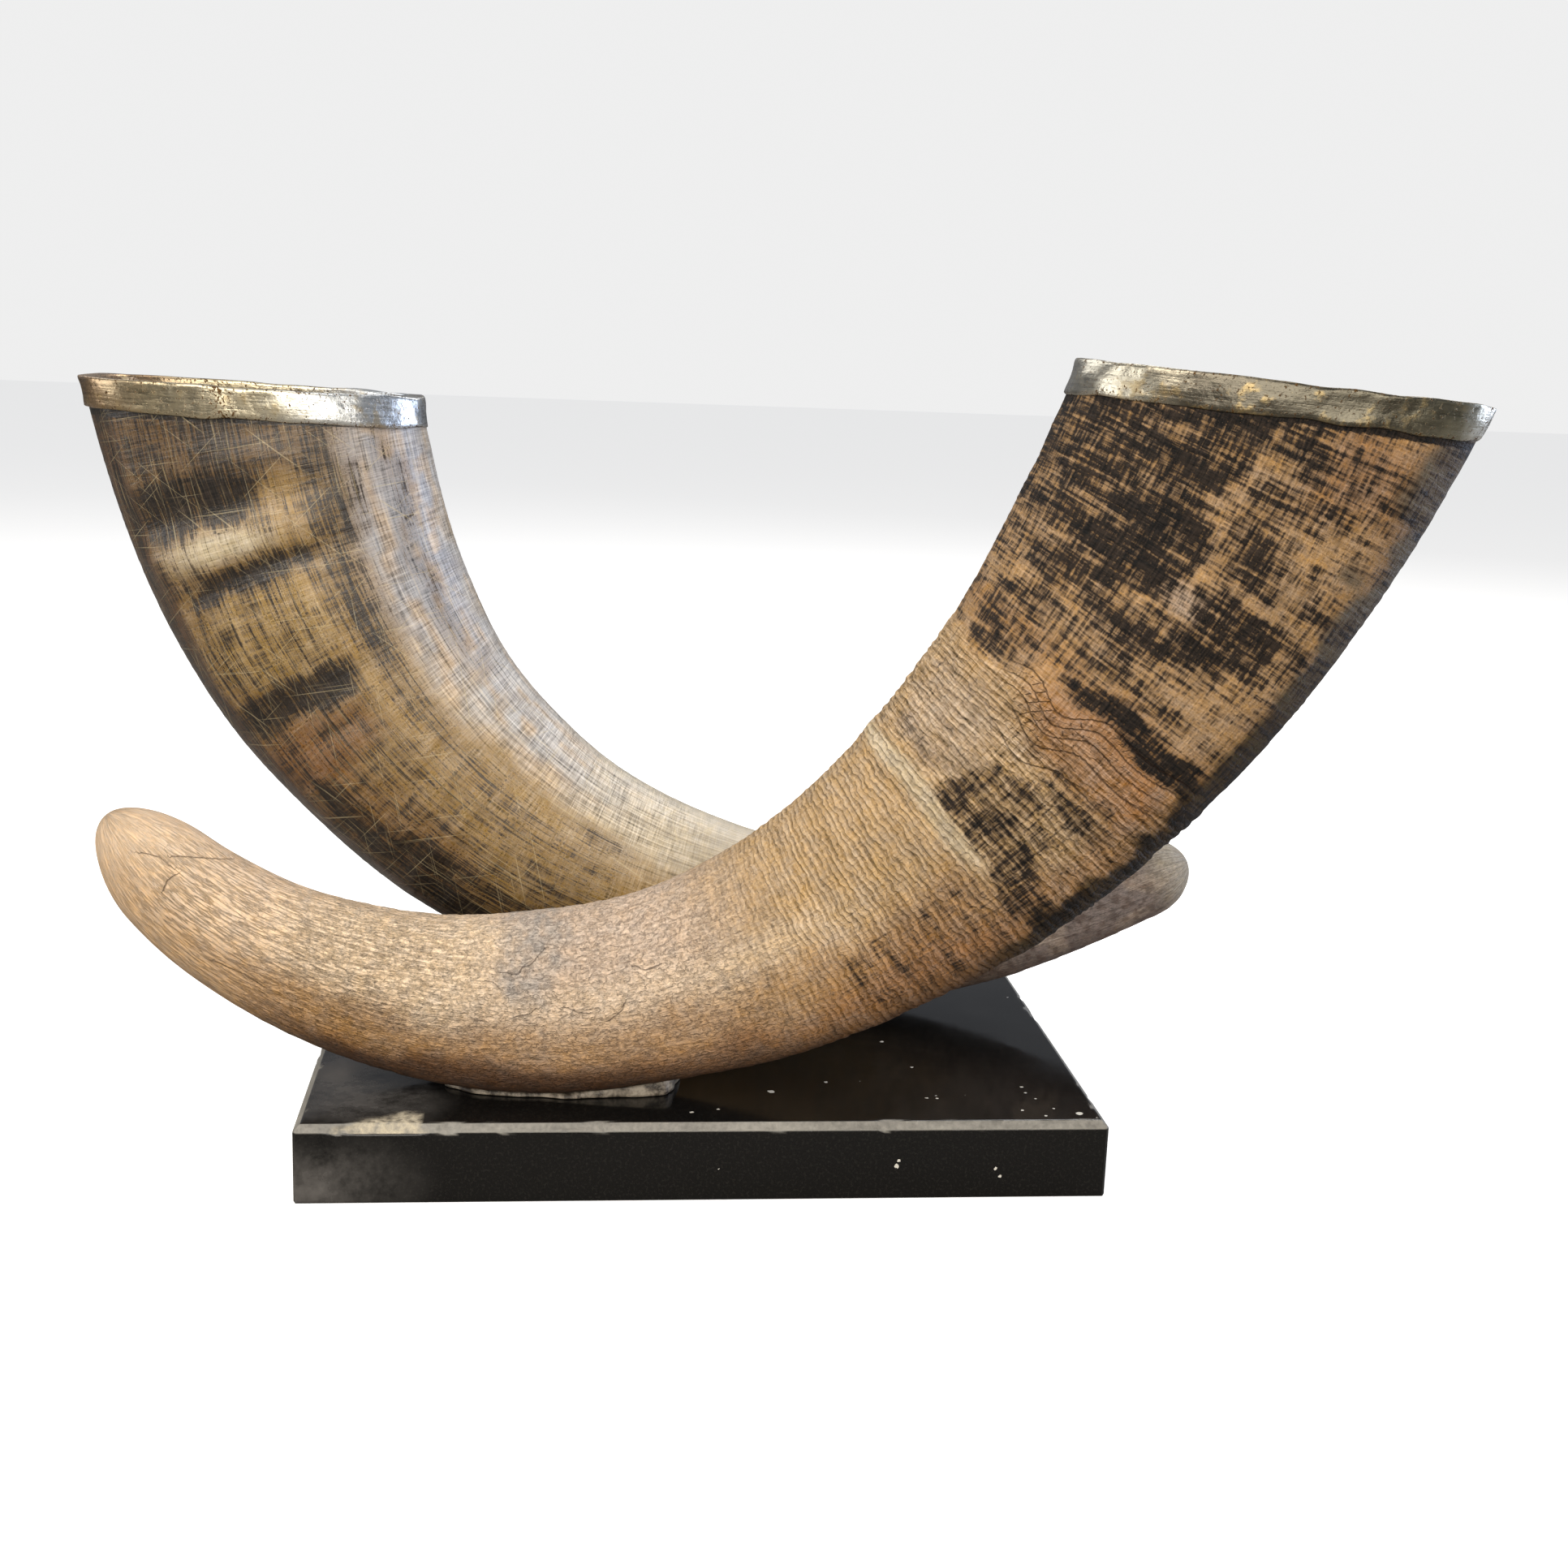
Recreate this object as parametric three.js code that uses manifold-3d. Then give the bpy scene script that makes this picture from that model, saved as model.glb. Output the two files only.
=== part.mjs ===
// A pair of water-buffalo horns, crossed and bedded on a slab of polished black stone.  Each
// horn is hollow from its mouth, and each mouth is bound with a thin metal rim.
//
// Millimetres, +Z up.  The origin is the middle of the slab's underside.  +X runs along the
// slab to the side the front horn's mouth leans to, +Y runs to the back.

import * as THREE from 'three';
import Module from 'manifold-3d';
import { mergeVertices } from 'three/addons/utils/BufferGeometryUtils.js';

// ---- driving dimensions ----

const GAP = 0.3;                  // air left between pieces that touch
const AROUND = 32;                // points around a horn, a rim or a bead of adhesive

const SLAB = {
  length: 300,
  depth: 200,
  height: 30,
  arris: 2.5,                     // the slope ground along the top edges
  footArris: 0.8,
  cornerCut: 1.2,
};

// A horn is measured from its tip.  Its spine lies in an upright plane, starts at the tip
// heading downwards and bends upwards all the way; bend radii and widths are evenly spaced
// along the measured length, which runs a little past the mouth.
const FRONT_HORN = {
  along: 1,                       // the mouth leans to +X
  planeY: -64,                    // where the spine's plane crosses the middle of the slab
  swing: -4.6,                    // degrees the plane is turned about +Z
  tip: [-223, 131.2],             // run along the plane, height
  startAngle: -52,                // degrees the spine points below level at the tip
  length: 600,
  bendRadius: [160, 200, 222, 368, 450, 330],
  width: [35, 48.5, 62, 71, 86, 106.5, 124, 136, 148],
  tipRound: 32,                   // length over which the tip is rounded off
  mouthAt: [202, 302.3],          // run and height of the middle of the mouth
  mouthSlope: -4.5,               // degrees the mouth falls towards +X
  beadOffset: 12,                 // run from the lowest point to the middle of the adhesive
};

const REAR_HORN = {
  along: -1,
  planeY: 40,
  swing: -4.6,
  tip: [-212.5, 98.8],
  startAngle: -24,
  length: 540,
  bendRadius: [450, 330, 262, 213, 255, 800],
  width: [29, 45, 61.5, 76, 88, 101, 114.5, 124.5, 133],
  tipRound: 18,
  mouthAt: [183, 285.4],
  mouthSlope: -1.75,
  beadOffset: 0,
};

// Thickness of the horn across its plane, as a share of its width: round at the tip, flat at
// the mouth.
const FLATNESS = [0.93, 0.92, 0.88, 0.78, 0.68, 0.62];
const INSIDE_CURVE = 2.1;         // squareness of the section on the hollow side of the bend
const OUTSIDE_CURVE = 3;          // and on the outer side, where the horn has two blunt edges

// The hollow left by the bony core.
const HOLLOW = {
  depth: 212,                     // along the spine
  mouthWall: 4,
  floorWall: 11,
  floorRound: 40,
};

const RIM = {
  metal: 0.8,
  skirt: 12,                      // height on the outside of the horn
  turnIn: 5,                      // height on the inside
};

const ADHESIVE = {
  halfLength: 42,
  halfDepth: 12,
  edge: 0.6,
  height: 3.2,
  crown: 0.75,                    // size of the top of the bead against its foot
  lobes: [[3, 0.05], [5, 0.03]],  // how many round the bead, how far out as a share of its size
};

const TIP_RINGS = 6;
const SKIN_RINGS = 28;
const HOLLOW_RINGS = 11;
const FLOOR_RINGS = 4;

const MOUTH_BEYOND = 0.6;         // the mouth is looked for past this share of the length
const HALVINGS = 40;
const WELD = 1e-4;                // points nearer than this are one point

const UP = new THREE.Vector3(0, 0, 1);
const radians = THREE.MathUtils.degToRad;

// ---- curves ----

// A smooth curve through evenly spaced values, read at a share of its run from 0 to 1.
function through(values, share) {
  const last = values.length - 1;
  const x = THREE.MathUtils.clamp(share, 0, 1) * last;
  const i = Math.min(Math.floor(x), last - 1);
  const f = x - i;
  const b = values[i];
  const c = values[i + 1];
  const a = i === 0 ? 2 * b - c : values[i - 1];
  const d = i === last - 1 ? 2 * c - b : values[i + 2];
  const slope = c - a;
  const turn = 2 * a - 5 * b + 4 * c - d;
  const twist = 3 * b - 3 * c + d - a;
  return 0.5 * (2 * b + slope * f + turn * f * f + twist * f * f * f);
}

// How far a rounded end has opened out: 0 at its pole, 1 from the end of the rounding on.
function roundedEnd(distance, run) {
  const left = 1 - THREE.MathUtils.clamp(distance / run, 0, 1);
  return Math.sqrt(1 - left * left);
}

// The spine, walked in steps of a millimetre: where it is and which way it heads.
function walkSpine(horn) {
  const stations = [{ run: horn.tip[0], height: horn.tip[1], angle: radians(horn.startAngle) }];
  const bends = horn.bendRadius.map((radius) => 1 / radius);
  for (let s = 0; s < horn.length; s += 1) {
    const here = stations[s];
    const x = ((s + 0.5) / horn.length) * (bends.length - 1);
    const i = Math.floor(x);
    const turned = THREE.MathUtils.lerp(bends[i], bends[i + 1], x - i);
    const heading = here.angle + turned / 2;
    stations.push({
      run: here.run + Math.cos(heading),
      height: here.height + Math.sin(heading),
      angle: here.angle + turned,
    });
  }
  return stations;
}

// Everything about a horn that does not change from point to point.
function prepare(horn) {
  const swing = radians(horn.swing);
  const along = new THREE.Vector3(Math.cos(swing), Math.sin(swing), 0).multiplyScalar(horn.along);
  const slope = radians(horn.mouthSlope);
  const mouthUp = new THREE.Vector3(-Math.sin(slope), 0, Math.cos(slope));
  const start = new THREE.Vector3(0, horn.planeY, 0);
  const mouth = start.clone().addScaledVector(along, horn.mouthAt[0]);
  mouth.z = horn.mouthAt[1];
  return { ...horn, start, along, mouth, mouthUp, stations: walkSpine(horn) };
}

// Middle, upward side and far side of the horn's section at a distance from the tip.
function frameAt(horn, s) {
  const i = THREE.MathUtils.clamp(Math.floor(s), 0, horn.length - 1);
  const near = horn.stations[i];
  const far = horn.stations[i + 1];
  const f = s - i;
  const angle = THREE.MathUtils.lerp(near.angle, far.angle, f);
  const centre = horn.start.clone()
    .addScaledVector(horn.along, THREE.MathUtils.lerp(near.run, far.run, f))
    .addScaledVector(UP, THREE.MathUtils.lerp(near.height, far.height, f));
  const heading = horn.along.clone().multiplyScalar(Math.cos(angle))
    .addScaledVector(UP, Math.sin(angle));
  const upper = horn.along.clone().multiplyScalar(-Math.sin(angle))
    .addScaledVector(UP, Math.cos(angle));
  return { centre, upper, side: heading.cross(upper) };
}

// A point of the section: a rounded oval, a little squarer on the outer side of the bend.
function sectionPoint(horn, s, turn, halfWidth, halfDepth) {
  const { centre, upper, side } = frameAt(horn, s);
  const c = Math.cos(turn);
  const d = Math.sin(turn);
  const power = 2 / (c > 0 ? INSIDE_CURVE : OUTSIDE_CURVE);
  return centre
    .addScaledVector(upper, halfWidth * Math.sign(c) * Math.abs(c) ** power)
    .addScaledVector(side, halfDepth * Math.sign(d) * Math.abs(d) ** power);
}

// The horn's skin, grown outwards by a distance.
function skin(horn, grow) {
  return (s, turn) => {
    const share = s / horn.length;
    const open = roundedEnd(s, horn.tipRound);
    const halfWidth = through(horn.width, share) / 2;
    const halfDepth = halfWidth * through(FLATNESS, share);
    return sectionPoint(horn, s, turn, (halfWidth + grow) * open, (halfDepth + grow) * open);
  };
}

// The wall of the hollow, drawn inwards by a distance.
function hollowWall(horn, shrink) {
  const floor = horn.mouthAway - HOLLOW.depth;
  return (s, turn) => {
    const share = s / horn.length;
    const open = roundedEnd(s - floor, HOLLOW.floorRound);
    const up = THREE.MathUtils.clamp((s - floor) / HOLLOW.depth, 0, 1);
    const wall = THREE.MathUtils.lerp(HOLLOW.floorWall, HOLLOW.mouthWall, up) + shrink;
    const halfWidth = through(horn.width, share) / 2;
    const halfDepth = halfWidth * through(FLATNESS, share);
    return sectionPoint(horn, s, turn, (halfWidth - wall) * open, (halfDepth - wall) * open);
  };
}

// How far from the tip a line along a surface meets the plane that lies `below` the mouth.
function distanceToMouth(horn, surface, turn, below) {
  let low = horn.length * MOUTH_BEYOND;
  let high = horn.length;
  for (let halving = 0; halving < HALVINGS; halving += 1) {
    const middle = (low + high) / 2;
    const height = surface(middle, turn).sub(horn.mouth).dot(horn.mouthUp);
    if (height < -below) low = middle;
    else high = middle;
  }
  return (low + high) / 2;
}

// ---- closed bodies from rings of points ----

const turns = Array.from({ length: AROUND }, (_, i) => (i / AROUND) * 2 * Math.PI);
const steps = (count, first, last) => Array.from(
  { length: count },
  (_, i) => THREE.MathUtils.lerp(first, last, i / (count - 1)),
);
const ringOf = (pointAt) => turns.map(pointAt);
const pole = (point, count = AROUND) => Array.from({ length: count }, () => point.clone());

// Joins rings of equal count into a skin.  A ring with all its points in one place is a pole;
// a loop joins the last ring back to the first.
function stitch(rings, loop = false) {
  const around = rings[0].length;
  const rows = loop ? rings.length : rings.length - 1;
  const positions = rings.flat().flatMap((p) => [p.x, p.y, p.z]);
  const index = [];
  for (let row = 0; row < rows; row += 1) {
    const next = (row + 1) % rings.length;
    for (let i = 0; i < around; i += 1) {
      const j = (i + 1) % around;
      const [a, b] = [row * around + i, row * around + j];
      const [c, d] = [next * around + j, next * around + i];
      index.push(a, b, c, a, c, d);
    }
  }
  const geometry = new THREE.BufferGeometry();
  geometry.setAttribute('position', new THREE.Float32BufferAttribute(positions, 3));
  geometry.setIndex(index);
  return outwards(mergeVertices(geometry, WELD));
}

// Drops the flattened triangles at the poles and turns the rest to face outwards.
function outwards(geometry) {
  const at = geometry.getAttribute('position');
  const corner = (i) => new THREE.Vector3().fromBufferAttribute(at, i);
  const kept = [];
  let volume = 0;
  const index = geometry.getIndex().array;
  for (let i = 0; i < index.length; i += 3) {
    const [a, b, c] = index.slice(i, i + 3);
    if (a !== b && b !== c && c !== a) {
      kept.push([a, b, c]);
      volume += corner(a).dot(corner(b).cross(corner(c)));
    }
  }
  geometry.setIndex(kept.flatMap(([a, b, c]) => (volume > 0 ? [a, b, c] : [a, c, b])));
  return geometry;
}

// ---- the pieces ----

function slabGeometry() {
  const ring = (inset, height) => {
    const x = SLAB.length / 2 - inset;
    const y = SLAB.depth / 2 - inset;
    const cut = SLAB.cornerCut;
    const outline = [
      [x, -y + cut], [x, y - cut], [x - cut, y], [-x + cut, y],
      [-x, y - cut], [-x, -y + cut], [-x + cut, -y], [x - cut, -y],
    ];
    return outline.map(([px, py]) => new THREE.Vector3(px, py, height));
  };
  const outline = ring(0, 0);
  return stitch([
    pole(new THREE.Vector3(0, 0, 0), outline.length),
    ring(SLAB.footArris, 0),
    ring(0, SLAB.footArris),
    ring(0, SLAB.height - SLAB.arris),
    ring(SLAB.arris, SLAB.height),
    pole(new THREE.Vector3(0, 0, SLAB.height), outline.length),
  ]);
}

// The horn's outer rings from the tip to a plane that lies `below` the mouth.
function skinRings(horn, grow, below) {
  const surface = skin(horn, grow);
  const ends = turns.map((turn) => distanceToMouth(horn, surface, turn, below));
  const tipShares = steps(TIP_RINGS + 1, 0, 1).slice(1);
  const tipDistances = tipShares.map((share) => horn.tipRound * (1 - Math.cos(share * Math.PI / 2)));
  const tip = tipDistances.map((s) => ringOf((turn) => surface(s, turn)));
  const body = steps(SKIN_RINGS + 1, 0, 1).slice(1).map((share) => ringOf(
    (turn, i) => surface(THREE.MathUtils.lerp(horn.tipRound, ends[i], share), turn),
  ));
  return [pole(surface(0, 0)), ...tip, ...body];
}

// The hollow's rings from its floor to a plane that lies `below` the mouth.
function hollowRings(horn, below) {
  const surface = hollowWall(horn, 0);
  const floor = horn.mouthAway - HOLLOW.depth;
  const ends = turns.map((turn) => distanceToMouth(horn, surface, turn, below));
  const shares = steps(FLOOR_RINGS + 1, 0, 1).slice(1);
  const bottom = shares.map((share) => {
    const s = floor + HOLLOW.floorRound * (1 - Math.cos(share * Math.PI / 2));
    return ringOf((turn) => surface(s, turn));
  });
  const body = steps(HOLLOW_RINGS + 1, 0, 1).slice(1).map((share) => ringOf(
    (turn, i) => surface(THREE.MathUtils.lerp(floor + HOLLOW.floorRound, ends[i], share), turn),
  ));
  return [pole(surface(floor, 0)), ...bottom, ...body];
}

function hornGeometry(horn) {
  const below = RIM.metal + GAP;
  return stitch([...skinRings(horn, 0, below), ...hollowRings(horn, below).reverse()]);
}

// The rim is a strip folded over the edge of the mouth, with a skirt outside and inside.
function rimGeometry(horn) {
  const edge = (surface, below) => ringOf(
    (turn) => surface(distanceToMouth(horn, surface, turn, below), turn),
  );
  const outside = skin(horn, GAP + RIM.metal);
  const outsideBack = skin(horn, GAP);
  const insideBack = hollowWall(horn, GAP);
  const inside = hollowWall(horn, GAP + RIM.metal);
  return stitch([
    edge(outside, RIM.skirt),
    edge(outside, 0),
    edge(inside, 0),
    edge(inside, RIM.turnIn),
    edge(insideBack, RIM.turnIn),
    edge(insideBack, RIM.metal),
    edge(outsideBack, RIM.metal),
    edge(outsideBack, RIM.skirt),
  ], true);
}

const wasm = await Module();
wasm.setup();

function toSolid(geometry) {
  return new wasm.Manifold(new wasm.Mesh({
    numProp: 3,
    vertProperties: Float32Array.from(geometry.getAttribute('position').array),
    triVerts: Uint32Array.from(geometry.getIndex().array),
  }));
}

function fromSolid(solid) {
  const { vertProperties, triVerts } = solid.getMesh();
  const geometry = new THREE.BufferGeometry();
  geometry.setAttribute('position', new THREE.Float32BufferAttribute(vertProperties, 3));
  geometry.setIndex(Array.from(triVerts));
  return mergeVertices(geometry, WELD);
}

// The bed of adhesive squeezed out around the horn's lowest point: a low, slightly lobed bead
// with the horn's underside pressed into it.
function adhesiveGeometry(horn) {
  const body = skinRings(horn, GAP, 0);
  const lowest = body.flat().reduce((low, p) => (p.z < low.z ? p : low));
  const foot = SLAB.height + GAP;
  const middle = new THREE.Vector3(lowest.x, lowest.y, foot)
    .addScaledVector(horn.along, horn.beadOffset);
  const across = UP.clone().cross(horn.along);
  const ring = (size, height) => ringOf((turn) => {
    const swell = ADHESIVE.lobes.reduce((sum, [count, out]) => sum + out * Math.sin(count * turn), 1);
    const halfLength = ADHESIVE.halfLength * size * swell;
    const halfDepth = ADHESIVE.halfDepth * size * swell;
    return middle.clone()
      .addScaledVector(horn.along, halfLength * Math.cos(turn))
      .addScaledVector(across, halfDepth * Math.sin(turn))
      .addScaledVector(UP, height);
  });
  const bead = stitch([
    pole(middle),
    ring(1, 0),
    ring(1, ADHESIVE.edge),
    ring(ADHESIVE.crown, ADHESIVE.height),
    pole(middle.clone().addScaledVector(UP, ADHESIVE.height)),
  ]);
  const horns = stitch([...body, pole(horn.mouth)]);
  return fromSolid(toSolid(bead).subtract(toSolid(horns)));
}

// ---- the assembly ----

const part = new THREE.Group();
part.name = 'crossed_buffalo_horns';

function add(name, geometry, color, roughness, metalness = 0) {
  const material = new THREE.MeshStandardMaterial({ color, roughness, metalness });
  const mesh = new THREE.Mesh(geometry, material);
  mesh.name = name;
  part.add(mesh);
}

add('stone_slab', slabGeometry(), 0x17171a, 0.15);

for (const [side, dimensions, color] of [
  ['front', FRONT_HORN, 0xa58663],
  ['rear', REAR_HORN, 0x8d7650],
]) {
  const horn = prepare(dimensions);
  const spineEnd = (s) => frameAt(horn, s).centre;
  horn.mouthAway = distanceToMouth(horn, spineEnd, 0, 0);
  add(`${side}_horn`, hornGeometry(horn), color, 0.5);
  add(`${side}_rim`, rimGeometry(horn), 0xb3a684, 0.35, 1);
  add(`${side}_adhesive`, adhesiveGeometry(horn), 0xcfc8b8, 0.7);
}

export default part;
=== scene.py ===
# %% [markdown]
# # Two crossed buffalo horns on a stone slab
#
# This lesson builds the looks of a small ornament: two water-buffalo horns, each bound at the
# mouth with a thin metal rim, crossed and glued on a slab of polished black stone.  The solid
# model is loaded first and stays fixed.  Every piece that is made here stands for one solid
# of it, in the same place and at the same size, with the finer shape and the finish that the
# solid lacks.  All shapes are worked out in millimetres and put into Blender in metres.

import bpy
import numpy as np
from mathutils import Matrix


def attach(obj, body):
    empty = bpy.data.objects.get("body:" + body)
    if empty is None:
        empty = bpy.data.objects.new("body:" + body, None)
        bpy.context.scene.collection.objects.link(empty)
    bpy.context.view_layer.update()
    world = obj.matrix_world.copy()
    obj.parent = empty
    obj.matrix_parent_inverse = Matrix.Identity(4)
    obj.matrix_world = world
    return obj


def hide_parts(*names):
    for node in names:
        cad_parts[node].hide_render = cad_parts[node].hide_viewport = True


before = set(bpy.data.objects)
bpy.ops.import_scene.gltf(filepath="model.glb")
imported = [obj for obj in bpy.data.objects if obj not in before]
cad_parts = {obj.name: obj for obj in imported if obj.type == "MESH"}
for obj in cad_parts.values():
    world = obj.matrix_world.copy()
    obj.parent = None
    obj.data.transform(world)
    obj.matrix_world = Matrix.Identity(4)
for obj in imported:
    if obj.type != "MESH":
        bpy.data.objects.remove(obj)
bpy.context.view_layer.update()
MM = 0.001
print("solids:", sorted(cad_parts))

# %% [markdown]
# ## The camera
# A camera is a place, a direction and a lens.  The direction is given by three angles: yaw to
# the side, pitch below level and roll.  A matrix with the camera's right, up and backward
# directions as its columns turns it without any order of angles to remember.

# %% Camera
CAMERA_AT = np.array([-54.31, -779.65, 310.39])
YAW, PITCH, ROLL = np.radians([-6.44, -12.558, 2.185])


def camera_axes(yaw, pitch, roll):
    """Right, up and forward of a camera that looks along +Y, after turning by the angles."""
    forward = np.array([-np.sin(yaw) * np.cos(pitch), np.cos(yaw) * np.cos(pitch), np.sin(pitch)])
    level = np.array([np.cos(yaw), np.sin(yaw), 0])
    upright = np.cross(level, forward)
    right = np.cos(roll) * level + np.sin(roll) * upright
    return right, np.cos(roll) * upright - np.sin(roll) * level, forward


def placed(right, up, forward, at):
    """The matrix of something that looks along its own -Z, as cameras and lamps do."""
    matrix = np.eye(4)
    matrix[:3, 0], matrix[:3, 1], matrix[:3, 2], matrix[:3, 3] = right, up, -forward, at
    return Matrix(matrix.tolist())


lens = bpy.data.cameras.new("camera")
lens.lens = 45.56
lens.sensor_width = 36
lens.clip_end = 50
camera = bpy.data.objects.new("camera", lens)
camera.matrix_world = placed(*camera_axes(YAW, PITCH, ROLL), CAMERA_AT * MM)
bpy.context.scene.collection.objects.link(camera)
bpy.context.scene.camera = camera
bpy.context.scene.view_settings.view_transform = "Standard"
print("camera", [round(x, 3) for x in camera.location])

# %% [markdown]
# ## Nodes and colours
# A material is a small graph.  One function adds a node, fills its inputs with values or with
# the outputs of other nodes, and gives back the output that is wanted.  Colours are written as
# they are seen on a screen and turned to the linear numbers that a renderer adds up.

# %% Nodes and colours
def linear(colour):
    """An sRGB hex colour as linear red, green, blue and alpha: the display curve undone."""
    parts = np.array([int(colour[i:i + 2], 16) for i in (1, 3, 5)]) / 255
    curve = np.where(parts <= 0.04045, parts / 12.92, ((parts + 0.055) / 1.055) ** 2.4)
    return (*curve.tolist(), 1.0)


def add(tree, kind, inputs=None, output=0, **settings):
    """Adds a node with its settings and links, and returns one of its outputs."""
    node = tree.nodes.new("ShaderNode" + kind)
    for name, value in settings.items():
        setattr(node, name, value)
    for name, value in (inputs or {}).items():
        if isinstance(value, bpy.types.NodeSocket):
            tree.links.new(value, node.inputs[name])
        else:
            node.inputs[name].default_value = value
    return node.outputs[output]


def new_material(name, **settings):
    """A material with a Principled shader whose sockets take the given constant values."""
    material = bpy.data.materials.new(name)
    material.use_nodes = True
    shader = material.node_tree.nodes["Principled BSDF"]
    for socket, value in settings.items():
        shader.inputs[socket.replace("_", " ")].default_value = value
    return material, material.node_tree, shader


print("half grey on a screen is", round(linear("#808080")[0], 3), "of white in linear light")

# %% [markdown]
# ## Floor and light
# A plain pale floor and a few soft lamps.  The big lamp in front and above shapes the horns.
# A cooler, narrower one stands to the right like a window: horn that has been polished shows
# it as a bluish sheen along its inner bend, and on the rear horn a painted bluish sheen in the
# colour adds to it.  Two weak lamps behind keep the back readable.

# %% Lamps
AIM = np.array([0.0, -0.02, 0.15])  # metres, the middle of the ornament


def lamp(name, at, size, watts, colour):
    """A rectangular lamp at a place in metres, turned so that it looks at the ornament."""
    forward = (AIM - at) / np.linalg.norm(AIM - at)
    right = np.cross(forward, (0, 0, 1))
    right /= np.linalg.norm(right)
    data = bpy.data.lights.new(name, "AREA")
    data.shape = "RECTANGLE"
    data.size, data.size_y = size
    data.energy = watts
    data.color = linear(colour)[:3]
    lamp_object = bpy.data.objects.new(name, data)
    lamp_object.matrix_world = placed(right, np.cross(right, forward), forward, at)
    bpy.context.scene.collection.objects.link(lamp_object)


for name, at, size, watts, colour in (
        ("key", (-0.6, -1.2, 1.15), (1.2, 0.9), 24, "#FFF7EC"),
        ("front", (0.25, -1.7, 0.6), (1.2, 0.8), 15, "#FFFAF2"),
        ("top", (0.1, 0.1, 1.6), (1.4, 0.9), 10, "#FFFFFF"),
        ("window", (1.45, 0.3, 0.42), (0.6, 0.7), 13, "#D3E2FF"),
        ("left", (-1.5, -0.3, 0.5), (0.6, 0.8), 6, "#FFFFFF"),
        ("behind_right", (0.9, 1.5, 1.5), (0.9, 0.9), 12, "#FFFFFF"),
        ("behind_left", (-1.1, 1.3, 1.5), (0.9, 0.9), 8, "#FFFFFF")):
    lamp(name, at, size, watts, colour)
print(len(bpy.data.lights), "lamps")

# %% [markdown]
# Matt paper scatters light evenly, so the floor shows no lamp and the eye rests on the object.
# The paper is pale to the camera, which also sees a faint glow from it, and darker as a
# reflector, so that it does not light the horns from below.

# %% Floor
FLOOR_HALF = 9.0  # metres
floor_mesh = bpy.data.meshes.new("floor")
floor_mesh.from_pydata(
    [(-FLOOR_HALF, -FLOOR_HALF, 0), (FLOOR_HALF, -FLOOR_HALF, 0),
     (FLOOR_HALF, FLOOR_HALF, 0), (-FLOOR_HALF, FLOOR_HALF, 0)], [], [(0, 1, 2, 3)])
floor = bpy.data.objects.new("floor", floor_mesh)
bpy.context.scene.collection.objects.link(floor)
paper, tree, shader = new_material("pale_studio_paper", Roughness=0.9, Specular_IOR_Level=0.1)
seen = add(tree, "LightPath", output="Is Camera Ray")
tree.links.new(add(tree, "Mix", {0: seen, 6: linear("#8C8984"), 7: linear("#D9D7D3")}, 2,
                   data_type="RGBA"), shader.inputs["Base Color"])
shader.inputs["Emission Color"].default_value = linear("#FFFFFF")
tree.links.new(add(tree, "Math", {0: seen, 1: 0.64}, operation="MULTIPLY"),
               shader.inputs["Emission Strength"])
floor_mesh.materials.append(paper)
print("floor", 2 * FLOOR_HALF, "m wide")

# %% [markdown]
# The room is white where the camera sees it and much dimmer as a source of light, so that the
# polished stone mirrors a dim room.

# %% Room
world = bpy.data.worlds.new("room")
bpy.context.scene.world = world
world.use_nodes = True
room = world.node_tree
room.nodes.clear()
white = add(room, "Background", {"Color": linear("#FFFFFF"), "Strength": 0.86})
lighting = add(room, "Background", {"Color": linear("#E6EAF2"), "Strength": 0.28})
rays = add(room, "LightPath", output="Is Camera Ray")
output = room.nodes.new("ShaderNodeOutputWorld")
room.links.new(add(room, "MixShader", {0: rays, 1: lighting, 2: white}), output.inputs["Surface"])
print("room", world.name, "with", len(room.nodes), "nodes")

# %% [markdown]
# ## The shape of a horn
# A horn grows from its base, bending as it goes, so its surface is a section carried along a
# curved spine.  A long Bezier tube could be bent to look like one, but the horn flattens and
# widens at its own pace and its section is not round.  Numbers are easier to steer: the
# spine's bend and the horn's width are smooth curves through a few values, measured from the
# tip, and the section is an oval that is squarer on the outer side of the bend.

# %% Horn dimensions, in millimetres
FRONT = dict(
    along=1, plane_y=-64, swing=-4.6, tip=(-223, 131.2), start_angle=-52, length=600,
    bend_radius=[160, 200, 222, 368, 450, 330],
    width=[35, 48.5, 62, 71, 86, 106.5, 124, 136, 148],
    tip_round=32, mouth_at=(202, 302.3), mouth_slope=-4.5)
REAR = dict(
    along=-1, plane_y=40, swing=-4.6, tip=(-212.5, 98.8), start_angle=-24, length=540,
    bend_radius=[450, 330, 262, 213, 255, 800],
    width=[29, 45, 61.5, 76, 88, 101, 114.5, 124.5, 133],
    tip_round=18, mouth_at=(183, 285.4), mouth_slope=-1.75)
FLATNESS = [0.93, 0.92, 0.88, 0.78, 0.68, 0.62]
INSIDE_CURVE, OUTSIDE_CURVE = 2.1, 3.0
HOLLOW_DEPTH, MOUTH_WALL, FLOOR_WALL, FLOOR_ROUND = 212, 4, 11, 40
GAP, METAL = 0.3, 0.8
PAST_BEND = 0.6  # share of the length, past the sharpest bend and well short of the mouth

print("mouths", FRONT["width"][-1], "and", REAR["width"][-1], "mm wide at most")

# %% [markdown]
# The spine is walked as a horn grows: a small step, a small turn, and on.  Each step turns by
# one over the bend's radius there.  The walk gives every point of the spine, and with it the
# two directions that the section lies in.

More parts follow.
